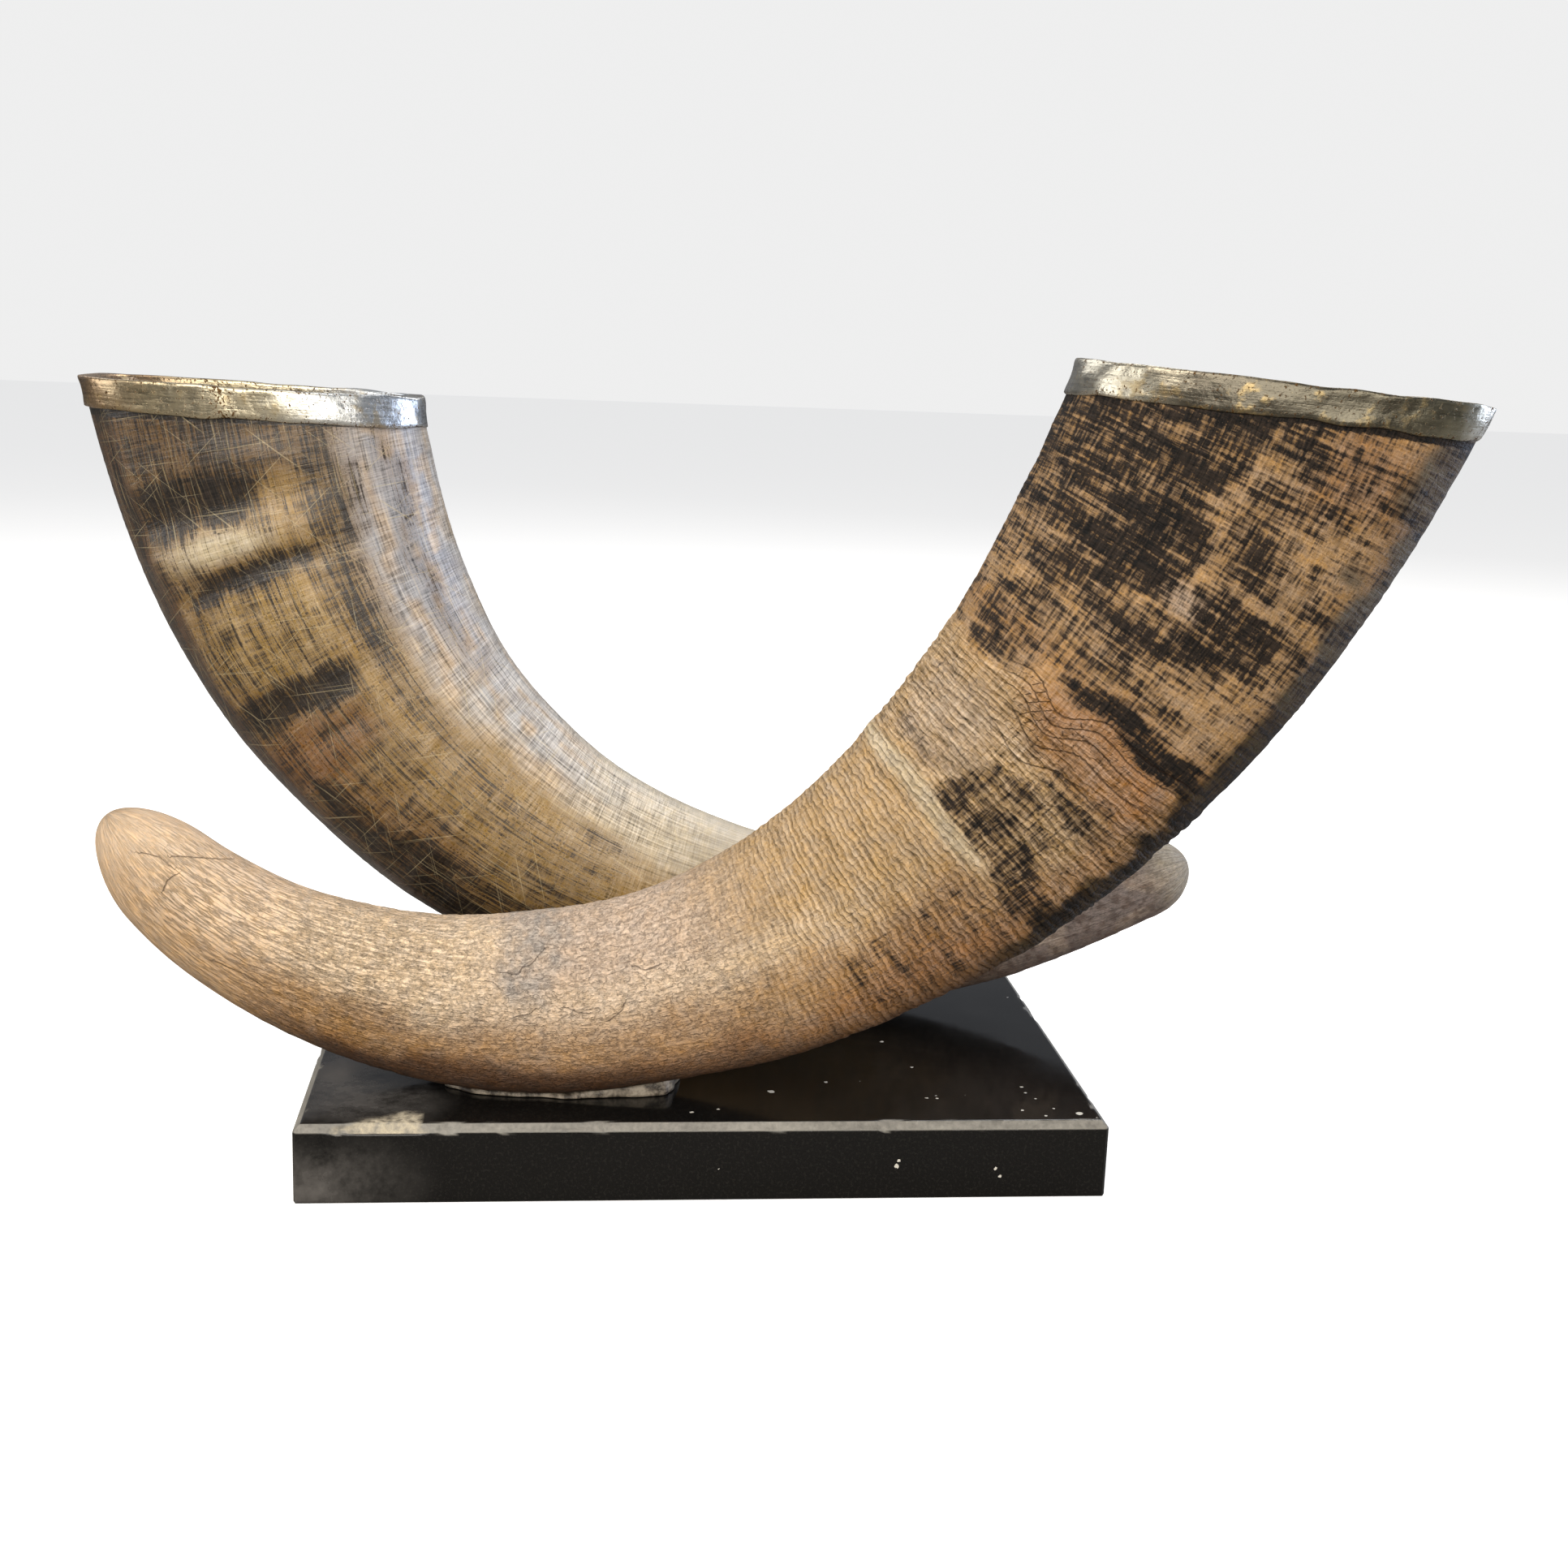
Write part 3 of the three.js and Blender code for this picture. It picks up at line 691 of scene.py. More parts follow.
def rear_marks(s, around, across, wrapped, near_side):
    """Relief in mm, and the amounts of each colour, dark layer and rib.  It takes the same
    values as the front horn's, though it has no cracks to place."""
    drift, _, ss, aa = wander(
        s, around, wrapped, seed=21, along=2.2, aside=0.02, fray=0.005)
    block = bumps(wrapped, (9, 12, 12), 27)
    pebble = bumps(wrapped, (2.4, 4.5, 4.5), 26)
    rib = bumps(wrapped, (1.45, 15, 15), 25)
    streaks = bumps(wrapped, (13, 2.6, 2.6), 29)
    rough_tip = 1 - smooth(90, 170, s)
    # A growth wave rises or sinks like a bell along the horn and fades out round it.
    swell = sum(height * np.exp(-(((s + 1.5 * drift - middle) / spread) ** 2))
                * smooth(a0 - 0.09, a0 + 0.09, aa) * (1 - smooth(a1 - 0.05, a1 + 0.05, aa))
                for middle, spread, height, a0, a1 in REAR_WAVES)
    gentle = 0.35 * np.sin(2 * np.pi * (s + 2 * drift) / 18.5) * patch(
        s, around, (290, 375, 0.4, 0.8), 15, 0.1)
    keel = smooth(200, 330, s) * np.exp(-(((around - 0.775) / 0.022) ** 2))
    relief = (0.6 * bumps(wrapped, 45, 28) + swell + gentle + 0.05 * rib + 0.6 * keel
              + rough_tip * 0.14 * pebble)
    outer = smooth(0.75, 0.79, aa) * smooth(200, 280, s)
    # On the inner bend the grey is partly a thin grey film and partly a painted sheen, and the
    # slate wash in it is a painted bluish reflection of the window.
    grey_film_and_sheen = patch(ss, aa, (275, 520, 0.0, 0.285), 45, 0.05)
    # The cream of the highest crest is partly its own colour and partly a painted highlight on the
    # bulge.
    crest_and_highlight = patch(s + 2 * drift, aa, (450.5, 461, 0.49, 0.74), 3.5, 0.06)
    tint = painted(s.shape, [
        ("bronze", np.ones(s.shape)),
        ("mauve", 1 - smooth(70, 150, ss)),
        ("rose", 0.5 * rough_tip * smooth(0.0, 0.5, block)),
        ("umber", 0.5 * rough_tip * smooth(0.1, 0.6, pebble)),
        ("cream", 0.6 * (1 - smooth(6, 26, s + 4 * drift))),
        ("sand", 0.95 * patch(ss, aa, (150, 300, -0.4, 0.36), 35, 0.06)),
        ("sand", 0.6 * patch(ss, aa, (250, 540, -0.4, 0.08), 30, 0.06)),
        ("yellow", 0.5 * patch(ss, aa, (230, 520, 0.28, 0.60), 20, 0.05)),
        ("russet", 0.12 * patch(ss, aa, (300, 520, -0.1, 0.06), 20, 0.03)),
        ("ash", 0.95 * grey_film_and_sheen * (0.85 + 0.25 * block)),
        ("slate", 0.55 * grey_film_and_sheen * smooth(350, 400, ss) * smooth(0.04, 0.09, aa)),
        ("gold", 0.55 * grey_film_and_sheen * smooth(0.05, 0.7, streaks)),
        ("russet", 0.55 * patch(ss, aa, (366, 388, 0.46, 0.80), 6, 0.04)),
        ("russet", 0.28 * patch(ss, aa, (300, 372, 0.55, 0.78), 12, 0.06)),
        ("yellow", 0.95 * patch(ss, aa, (404, 438, 0.42, 0.70), 4, 0.05)),
        ("cream", 0.8 * crest_and_highlight),
        ("umber", 0.5 * patch(ss, aa, (476, 520, 0.30, 0.80), 5, 0.05)),
        ("umber", 0.55 * smooth(0.60, 0.80, aa) * (1 - smooth(330, 420, s)) * smooth(160, 260, s)),
        ("umber", 0.75 * smooth(0.55, 0.85, aa) * smooth(2, 30, s) * (1 - smooth(100, 180, s))),
        ("umber", 0.9 * outer)])
    black = most(ss, aa, REAR_BLACK, 7.0, 0.07)
    streaky = smooth(0.26, 0.34, aa) * smooth(225, 270, ss) * (0.33 + 0.12 * smooth(0.4, 0.7, aa))
    black = np.maximum.reduce([black, streaky, 0.55 * outer]) * (1 - 0.6 * crest_and_highlight)
    none = np.zeros(s.shape)
    return relief, tint, dict(
        black=black, ribs=0.5 * rib, pebbles=rough_tip, ribbed=none, crack=none + FAR,
        opening=none, polish=smooth(120, 230, s), wrinkles=none, weave=smooth(190, 260, s))


print(len(REAR_BLACK), "dark patches and", len(REAR_WAVES), "growth waves on the rear horn")

# %% [markdown]
# ## Meshes
# A surface here is a grid: rows of points, each row a closed ring.  Where a row shrinks to
# one point it is a pole, and the squares next to it become triangles.  A loop of rows, as on
# a rim, joins its last row to its first.  The volume's sign tells whether faces point inwards,
# and then they are all turned round.

# %% Meshes from grids
def new_piece(name, node, points, faces, marks):
    """A mesh object from points in millimetres, with one attribute for each of the marks."""
    mesh = bpy.data.meshes.new(name)
    mesh.from_pydata((points * MM).tolist(), [], faces)
    kinds = {1: ("FLOAT", "value"), 2: ("FLOAT_VECTOR", "vector")}
    for mark, values in marks.items():
        kind, field = ("FLOAT_COLOR", "color") if mark == "tint" else kinds[values.ndim]
        layer = mesh.attributes.new(mark, kind, "POINT")
        layer.data.foreach_set(field, values.astype(np.float32).ravel())
    mesh.polygons.foreach_set("use_smooth", np.ones(len(mesh.polygons), bool))
    piece = bpy.data.objects.new(name, mesh)
    bpy.context.scene.collection.objects.link(piece)
    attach(piece, "root")
    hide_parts(node)
    print(name, len(mesh.vertices), "points,", len(mesh.polygons), "faces")
    return piece


def ring_surface(grid, loop=False):
    """Faces that join the rows of a grid, and the numbers of the points that they use."""
    rows, columns = grid.shape[:2]
    index = np.arange(rows * columns).reshape(rows, columns)
    if not loop:
        index[[0, -1]] = index[[0, -1], :1]
    below = index if loop else index[:-1]
    above = np.roll(index, -1, 0) if loop else index[1:]
    squares = np.stack([below, np.roll(below, -1, 1), np.roll(above, -1, 1), above], -1)
    a, b, c, d = np.moveaxis(grid.reshape(-1, 3)[squares.reshape(-1, 4)], 1, 0)
    volume = np.sum(a * (np.cross(b, c) + np.cross(c, d)))
    used, packed = np.unique(squares, return_inverse=True)
    squares = packed.reshape(squares.shape)
    if volume < 0:
        squares = squares[..., ::-1]
    if loop:
        return squares.reshape(-1, 4).tolist(), used
    poles = ([0, 1, 2], [1, 2, 3]) if volume < 0 else ([1, 2, 3], [0, 1, 2])
    first, last = squares[0][:, poles[0]], squares[-1][:, poles[1]]
    return first.tolist() + squares[1:-1].reshape(-1, 4).tolist() + last.tolist(), used


sides = np.radians([0, 90, 180, 270])
gem = np.stack([np.stack([size * np.cos(sides), size * np.sin(sides), np.full(4, level)], -1)
                for size, level in ((0, -1.0), (1, 0.0), (0, 1.0))])
print("a gem of three rings of four points has", len(ring_surface(gem)[0]), "faces")

# %% [markdown]
# ## The horns
# The marks are worked out on the outer skin.  The relief fades out just below the rim, where
# the metal grips the horn.  The hollow gets plain marks of its own, and both grids joined at
# the mouth make one closed body.

# %% Horn pieces
RIM_EDGE = 11.4  # mm from the end of the skin down to just below the rim's lower edge


def horn_piece(name, node, horn, fine_from, marks_of):
    """Outer skin with its relief, the edge of the mouth and the hollow, as one grid."""
    s, turn, points, ends = outer_grid(horn, fine_from)
    around, across, wrapped = measures(points, s)
    relief, tint, marks = marks_of(s, around, across, wrapped, turn < np.pi)
    # A dark line along the rim's lower edge is painted shadow under the metal.
    dark_share = 1 - smooth(0.5, 2.0, np.abs(ends - s - RIM_EDGE))
    marks["black"] = np.maximum(marks["black"], 1.2 * dark_share)
    free = smooth(13, 26, ends - s) * smooth(0, 14, s)
    points = points + (relief * free)[..., None] * outward(points)
    inner_s, inner = inner_grid(horn)
    inner_wrapped = measures(inner, inner_s)[2]
    damp = 0.5 + 0.5 * bumps(inner_wrapped, 20, 31)
    # The hollow is painted darker the deeper it goes: painted shade.
    inner_tint = painted(inner_s.shape, [
        ("umber", 0.55 + 0.3 * damp), ("black", 0.5 * smooth(60, 200, ends.mean() - inner_s))])
    plain = dict(black=0.0, ribs=0.0, ribbed=0.15, pebbles=0.4, crack=FAR, opening=0.0,
                 polish=0.0, weave=0.2, wrinkles=0.2)
    grid = np.concatenate([points, inner])
    faces, used = ring_surface(grid)
    flat = {mark: np.concatenate([values, np.full(inner_s.shape, plain[mark])]).ravel()[used]
            for mark, values in marks.items()}
    flat["tint"] = np.concatenate([tint, inner_tint]).reshape(-1, 4)[used]
    flat["grain"] = np.concatenate([wrapped, inner_wrapped]).reshape(-1, 3)[used]
    return new_piece(name, node, grid.reshape(-1, 3)[used], faces, flat)


front_horn = horn_piece("horn_front", "front_horn", front, FINE_FROM, front_marks)
rear_horn = horn_piece("horn_rear", "rear_horn", rear, FINE_FROM_REAR, rear_marks)

# %% [markdown]
# ## Patterns and sums
# Worn surfaces are made of few things: noises stretched to a real size, and sums of them
# weighted by marks on the mesh.  Both have a function, so that a graph reads like a sum, and
# so has the end of a graph, where colour, roughness and height meet the shader.

# %% Patterns and sums
def noises(tree, place, detail=4.0, **sizes):
    """Noises from -1 to 1, each stretched to its own three sizes along the axes of a place."""
    found = {}
    for name, size in sizes.items():
        at = add(tree, "Mapping", {"Vector": place, "Scale": tuple(1 / length for length in size)})
        noise = add(tree, "TexNoise", {"Vector": at, "Scale": 1.0, "Detail": detail,
                                       "Roughness": 0.6})
        found[name] = add(tree, "MapRange", {"Value": noise, "From Min": 0.3, "From Max": 0.7,
                                             "To Min": -1.0, "To Max": 1.0})
    return found


def total(tree, start, *products):
    """A start value plus a row of products, each of two or more numbers or outputs."""
    for *factors, last in products:
        product = factors[0]
        for factor in factors[1:]:
            product = add(tree, "Math", {0: product, 1: factor}, operation="MULTIPLY")
        start = add(tree, "Math", {0: product, 1: last, 2: start}, operation="MULTIPLY_ADD")
    return start


def connect(tree, shader, colour, roughness, height, bump_mm, strength=1.0):
    """Links a colour, a roughness and, as a bump of so many mm, a height to a shader."""
    bump = add(tree, "Bump", {"Height": height, "Distance": bump_mm * MM, "Strength": strength})
    for socket, value in (("Base Color", colour), ("Roughness", roughness), ("Normal", bump)):
        tree.links.new(value, shader.inputs[socket])


print("a noise that is 4 mm wide has", 1000 // 4, "bumps to a metre")

# %% [markdown]
# ## The finish of horn
# Horn is keratin: layers of fine fibres, laid down a little at a time at the base.  It could
# be painted with one marbled texture, but the real surface is two sets of lines at right
# angles, fibres along the horn and growth lines across it.  So its patterns are noises that
# are stretched along or across the horn, and thin lines for its wrinkles, pits and ribs.
# Horn has an IOR of about 1.54.  Polish lowers its roughness, wear and dirt raise it.

# %% Patterns in horn
RIB_PITCH = 2.6  # mm


def horn_patterns(tree, fibre, line):
    """Noises along and across the horn, and thin lines for wrinkles, pits and ribs."""
    grain = add(tree, "Attribute", output="Vector", attribute_name="grain")
    # Sizes in mm along the horn and round it.  Real fibres are 0.1 mm wide: a fibre here stands
    # for a bundle of about ten.
    noise = noises(
        tree, grain, fibres=(*fibre, fibre[1]), lines=(*line, line[1]), rings=(10, 60, 60),
        strips=(90, 8, 8), patches=(6, 9, 9), grit=(1.3, 1.3, 1.3), hairs=(22, 0.7, 0.7),
        threads=(0.7, 9, 9), wrinkled=(12, 2.6, 2.6), pebbled=(4.2, 4.0, 4.0))
    # Wrinkles and pits are the level lines of a noise: dark where it passes its middle.
    crease = {name: add(tree, "MapRange", {
        "Value": add(tree, "Math", {0: noise[name]}, operation="ABSOLUTE"),
        "From Max": 0.28, "To Min": 1.0, "To Max": 0.0}) for name in ("wrinkled", "pebbled")}
    # Growth ribs follow one another evenly: a wave of thin, wavering dark lines.  At scale 1
    # Blender's wave repeats every pi / 10.
    wave = add(tree, "TexWave", {
        "Vector": grain, "Scale": np.pi / 10 / RIB_PITCH, "Distortion": 7.0, "Detail": 3.0,
        "Detail Scale": 1.1, "Detail Roughness": 0.65}, bands_direction="X")
    crease["ridged"] = add(tree, "MapRange", {
        "Value": wave, "From Min": 0.05, "From Max": 0.55, "To Min": 1.0, "To Max": 0.0})
    return noise, crease


print("growth ribs", RIB_PITCH, "mm apart")

# %% [markdown]
# The dark layer stays where its share, moved up and down by the patterns, is over a half.
# Around it the tan layer is stained brown.  A crack is drawn where its signed distance passes
# zero, with grit to make its edges ragged.

# %% Dark layer, cracks and wear
SCRATCH_ANGLES = (35, -48, 78, -10)   # degrees
SCRATCH_SIZE = (0.042, 0.04, 0.0006)  # metres; drawn about twice as wide as the real 0.3 mm


def dark_layer(tree, marks, noise, covers, soft):
    """Shares of the dark layer and of the stain round it: the mark plus the noises, each times
    its part, and then a soft step."""
    some = add(tree, "MapRange", {"Value": marks["black"], "From Max": 0.25})
    cover = total(tree, marks["black"],
                  *[(noise[name], some, part) for name, part in covers.items()])
    black = add(tree, "MapRange", {"Value": cover, "From Min": 0.5 - soft, "From Max": 0.5 + soft})
    stained = add(tree, "MapRange", {"Value": cover, "From Min": 0.1, "From Max": 0.6,
                                     "To Max": 0.55})
    return black, stained


def crack_line(tree, marks, noise):
    """The share of a crack: most where the distance is nothing, none a third of a mm away."""
    gap = add(tree, "Math", {0: total(tree, marks["crack"], (noise["grit"], 0.25))},
              operation="ABSOLUTE")
    crack = add(tree, "MapRange", {"Value": gap, "From Min": 0.05, "From Max": 0.36,
                                   "To Min": 0.52, "To Max": 0.0})
    return add(tree, "Math", {0: crack, 1: marks["opening"]}, operation="MULTIPLY")


def wear(tree, marks, noise, scratched):
    """Layers of wear on a polished horn: fibres rubbed pale, and hairlines in four directions,
    where a noise that is drawn out to a line nears its peak."""
    rubbed = add(tree, "MapRange", {"Value": noise["hairs"], "From Min": 0.42, "From Max": 1.0,
                                    "To Max": scratched})
    layers = [(total(tree, 0.0, (rubbed, marks["polish"])), linear("#BFA878"))]
    place = add(tree, "TexCoord", output="Object")
    for lean in SCRATCH_ANGLES:
        at = add(tree, "Mapping", {"Vector": place, "Location": (lean, 0, 0),
                                   "Rotation": (0, np.radians(lean), 0),
                                   "Scale": SCRATCH_SIZE}, vector_type="TEXTURE")
        scratch = add(tree, "TexNoise", {"Vector": at, "Scale": 1.0, "Detail": 1.0})
        scratch = add(tree, "MapRange", {"Value": scratch, "From Min": 0.69, "From Max": 0.78})
        share = total(tree, 0.0, (scratch, marks["polish"], scratched))
        layers.append((share, linear("#C9B890")))
    return layers


print("scratches lean at", SCRATCH_ANGLES, "degrees")

# %% [markdown]
# The painted colours are shaded by the patterns first.  Then the stain, the dark layer, the
# cracks, the wear and the scratches are laid over them in that order.

# %% Horn materials
HORN_MARKS = ("black", "crack", "opening", "polish", "wrinkles", "pebbles", "ribbed", "ribs",
              "weave")


def horn_material(name, fibre, line, streak, covers, soft, scratched, rough, smoothest, gloss,
                  bump_mm):
    """Crossed fibres and growth lines over the painted colours of a horn."""
    material, tree, shader = new_material(name, IOR=1.54, Specular_IOR_Level=gloss)
    marks = {mark: add(tree, "Attribute", output="Fac", attribute_name=mark) for mark in HORN_MARKS}
    tint = add(tree, "Attribute", output="Color", attribute_name="tint")
    noise, crease = horn_patterns(tree, fibre, line)
    black, stained = dark_layer(tree, marks, noise, covers, soft)
    crack = crack_line(tree, marks, noise)
    # The crease terms with a minus darken the colour in the wrinkles, pits and rib grooves: painted
    # shade, on top of the bump that also shades them.
    shade = total(
        tree, 1.02, (noise["fibres"], streak), (noise["patches"], 0.10),
        (noise["hairs"], marks["weave"], streak + 0.14),
        (noise["threads"], marks["weave"], streak + 0.08),
        (noise["lines"], marks["weave"], 0.12), (noise["threads"], marks["ribbed"], 0.18),
        (crease["ridged"], marks["ribbed"], -0.30),
        (crease["ridged"], noise["lines"], marks["ribbed"], 0.2),
        (noise["grit"], marks["pebbles"], 0.32), (crease["pebbled"], marks["pebbles"], -0.20),
        (crease["wrinkled"], marks["wrinkles"], -0.28), (marks["ribs"], 0.12))
    rich = total(tree, 1.22, (noise["patches"], 0.14), (noise["grit"], 0.12), (shade, -0.25))
    colour = add(tree, "HueSaturation", {"Color": tint, "Saturation": rich, "Value": shade})
    tone = total(
        tree, 0.28, (noise["hairs"], 0.4), (noise["threads"], 0.3), (noise["patches"], 0.2))
    dark = add(tree, "Mix", {0: tone, 6: linear("#090807"), 7: linear("#3A2F26")}, 2,
               data_type="RGBA")
    # The crack layer also draws the painted shade under the front horn's ledges.
    over = [(stained, linear("#5E452D")), (black, dark), (crack, linear("#2A1B12"))]
    if scratched:
        over += wear(tree, marks, noise, scratched)
    for share, layer in over:
        colour = add(tree, "Mix", {0: share, 6: colour, 7: layer}, 2, data_type="RGBA")
    polish = add(tree, "MapRange", {"Value": marks["polish"], "To Min": rough, "To Max": smoothest})
    roughness = total(tree, polish, (noise["patches"], 0.07))
    height = total(
        tree, 0.0, (noise["fibres"], 0.18), (noise["lines"], marks["weave"], 0.3),
        (crease["ridged"], marks["ribbed"], -0.6), (noise["grit"], marks["pebbles"], 0.3),
        (crease["pebbled"], marks["pebbles"], -0.5), (crease["wrinkled"], marks["wrinkles"], -0.6),
        (black, marks["weave"], -0.25), (crack, -1.2))
    connect(tree, shader, colour, roughness, height, bump_mm)
    return material


# The front horn was left as it grew and has dried: it scatters light, and every rib and pit
# throws its own small shadow.
front_horn.data.materials.append(horn_material(
    "weathered_buffalo_horn", fibre=(9, 1.1), line=(1.5, 12), streak=0.16, soft=0.26,
    covers=dict(fibres=0.36, lines=0.40, hairs=0.14, threads=0.14, rings=0.24, strips=0.12),
    scratched=0.0, rough=0.66, smoothest=0.42, gloss=0.16, bump_mm=0.9))
# The rear horn was scraped and buffed: a soft gloss runs down its bend, its fibres show through
# the surface rather than stand on it, and fine scratches catch the light.
rear_horn.data.materials.append(horn_material(
    "polished_buffalo_horn", fibre=(30, 0.9), line=(1.6, 10), streak=0.34, soft=0.19,
    covers=dict(fibres=0.32, lines=0.10, hairs=0.32, threads=0.18, strips=0.14, patches=0.14),
    scratched=0.30, rough=0.66, smoothest=0.34, gloss=0.4, bump_mm=0.25))
print("horn finished")

# %% [markdown]
# ## The rims
# Each mouth is bound with a strip of thin plated metal, folded over the edge and pressed
# against the horn by hand.  A plain band would look like a machine part, so the strip follows
# the horn's own section, with a rounded fold, soft dents, a wavy lower edge and a lap where
# its ends meet.

# %% Profile of a rim
SKIRT, TURN_IN = 12, 5  # mm that the strip reaches down outside and inside
# Rows of points along the strip: how far each stands off the surface, and how far below the
# mouth.  They go up the outside, over the fold, down the inside and back up behind.
OUTSIDE = [(0.35, SKIRT + 0.1), (0.75, SKIRT), (1.1, SKIRT - 0.35), (1.1, 10), (1.1, 8),
           (1.1, 6), (1.1, 4), (1.1, 2.4), (1.1, 1.2), (0.98, 0.5), (0.7, 0.12), (0.3, 0.0)]
INSIDE = [(0.3, 0.0), (0.75, 0.12), (1.0, 0.5), (1.1, 1.2), (1.1, 3), (1.1, TURN_IN - 0.3),
          (0.75, TURN_IN)]
BEHIND = [(hollow_wall, 0.35, TURN_IN - 0.1), (hollow_wall, GAP, 2.5), (hollow_wall, GAP, METAL),
          (skin, GAP, METAL), (skin, GAP, 4), (skin, GAP, 8), (skin, GAP, SKIRT - 0.4)]
RIM_LINES = ([(skin, *row) for row in OUTSIDE] + [(hollow_wall, *row) for row in INSIDE] + BEHIND)
print(len(RIM_LINES), "rows of points along a rim")

# %% [markdown]
# The rows follow the horn's own skin and hollow, so the strip fits it everywhere.  Dents push
# only the outside.  The lower edge waves most and the fold a little, the other way.

# %% Rim pieces
RIM_AROUND = 240
RIM_RADIUS = 70   # mm, of the even ring that a rim's noises and marks are read on
MEAN_RADIUS = 60  # mm of strip to a radian of turn, at the lap


def rim_piece(name, node, horn, lap_turn, seed):
    """A closed strip: each row of the profile is carried round the mouth, and the last one is
    joined to the first."""
    turns = even_turns(horn, horn["mouth_away"], RIM_AROUND)
    rows, measure = [], []
    for surface, grow, below in RIM_LINES:
        s = reach(horn, surface, turns, below, grow)
        rows.append(surface(horn, s, turns, grow))
        measure.append(below if surface is skin else -below)
    grid = np.stack(rows)
    run = np.linspace(0, 2 * np.pi, RIM_AROUND, endpoint=False)
    strip = np.stack(np.broadcast_arrays(
        RIM_RADIUS * np.cos(run), RIM_RADIUS * np.sin(run), np.array(measure)[:, None]), -1)
    place = strip * (1, 1, 1.5)
    dent = 0.45 * bumps(place, (17, 17, 9), seed) + 0.16 * bumps(place, (6, 6, 5), seed + 1)
    from_lap = np.angle(np.exp(1j * (turns - lap_turn))) * MEAN_RADIUS
    lap = 0.4 * smooth(-1.2, 0, from_lap) * (1 - smooth(9, 12, from_lap))
    outside = np.array([[surface is skin and grow > GAP] for surface, grow, _ in RIM_LINES])
    middle = spine(horn, np.full(grid.shape[:2], horn["mouth_away"]))[0]
    away = grid - middle
    away -= (away @ horn["mouth_up"])[..., None] * horn["mouth_up"]
    away /= np.linalg.norm(away, axis=-1, keepdims=True)
    push = np.where(outside, np.maximum(dent, -0.45) + lap, 0.0)
    grid = grid + push[..., None] * away
    wave = 0.45 * bumps(place * (1, 1, 0), (14, 14, 9), seed + 2)
    low = np.array([smooth(5, SKIRT, below) if surface is skin else 0.0
                    for surface, _, below in RIM_LINES])[:, None]
    top = np.array([1 - smooth(0, 3, below) for _, _, below in RIM_LINES])[:, None]
    wave = wave * (low - 0.6 * top)
    grid = grid + wave[..., None] * horn["mouth_up"]
    faces, used = ring_surface(grid, loop=True)
    edge = np.array([max(smooth(9.5, SKIRT, below), 1 - smooth(0, 1.4, below))
                     if surface is skin else 0.6 for surface, _, below in RIM_LINES])[:, None]
    marks = dict(share=np.where(turns < np.pi, turns, 2 * np.pi - turns) / np.pi,
                 bare=bumps(place, (20, 20, 12), seed + 3), edge=edge,
                 seam=np.exp(-((from_lap / 1.6) ** 2)))
    flat = {mark: np.broadcast_to(values, grid.shape[:2]).ravel()[used]
            for mark, values in marks.items()}
    flat["strip"] = strip.reshape(-1, 3)[used]
    return new_piece(name, node, grid.reshape(-1, 3)[used], faces, flat)


front_rim = rim_piece("rim_front", "front_rim", front, lap_turn=2.6, seed=41)
rear_rim = rim_piece("rim_rear", "rear_rim", rear, lap_turn=1.6, seed=51)

# %% [markdown]
# ## The finish of the rims
# The strip is brass with a thin silver plate, drawn smooth and then worn by hands.  Where the
# plate is gone the brass is gold, and in places it has gone brown and crusty.  A metal has no
# colour of its own beneath the reflection, so its colour is that of the reflection and its
# roughness decides how sharp the room appears in it.  The colours drawn round each mouth are
# partly the plate and its wear and partly a painted reflection: the pale bluish stretch of the
# rear rim is a painted reflection of the window, and the front rim is drawn dark in its middle.
# To the eye the strip is a row of broken highlights, cold where the silver is left and where
# the window is painted in, and warm where the silver is gone.

# %% Rim materials
def rim_material(name, stops, shift):
    """Silver plate over brass, with the colour drawn along the share round the mouth."""
    material, tree, shader = new_material(name, Metallic=1.0)
    marks = {mark: add(tree, "Attribute", output="Fac", attribute_name=mark)
             for mark in ("share", "edge", "seam", "bare")}
    strip = add(tree, "Mapping", {
        "Vector": add(tree, "Attribute", output="Vector", attribute_name="strip"),
        "Location": (shift, 0, 0)})
    # Drawing marks run round the strip.  The real ones are 0.2 mm wide and are drawn as 0.9.
    noise = noises(tree, strip, rubbed=(22, 22, 0.9), blotch=(6, 6, 5), specks=(1.2, 1.2, 1.2))
    along = total(tree, marks["share"], (noise["blotch"], 0.03))
    ramp = tree.nodes.new("ShaderNodeValToRGB")
    while len(ramp.color_ramp.elements) < len(stops):
        ramp.color_ramp.elements.new(1.0)
    for element, (position, colour) in zip(ramp.color_ramp.elements, stops):
        element.position, element.color = position, linear(colour)
    tree.links.new(along, ramp.inputs["Fac"])
    shade = total(tree, 0.98, (noise["rubbed"], 0.10), (noise["blotch"], 0.10))
    colour = add(tree, "HueSaturation", {"Color": ramp.outputs["Color"], "Value": shade})
    gone = add(tree, "MapRange", {
        "Value": total(tree, 0.0, (noise["blotch"], 0.6), (marks["bare"], 0.35)),
        "From Min": 0.2, "From Max": 0.6, "To Max": 0.6})
    crust = add(tree, "MapRange", {
        "Value": total(tree, 0.0, (noise["specks"], 1.0), (marks["edge"], 0.3),
                       (marks["seam"], 0.5)),
        "From Min": 0.55, "From Max": 0.85})
    for share, layer in ((gone, "#A48E62"), (crust, "#5C452B")):
        colour = add(tree, "Mix", {0: share, 6: colour, 7: linear(layer)}, 2, data_type="RGBA")
    roughness = total(tree, 0.30, (noise["rubbed"], 0.06), (noise["blotch"], 0.05), (crust, 0.35))
    height = total(tree, 0.0, (noise["rubbed"], 0.12), (noise["blotch"], 0.4), (crust, 0.4))
    connect(tree, shader, colour, roughness, height, bump_mm=0.25, strength=0.7)
    return material


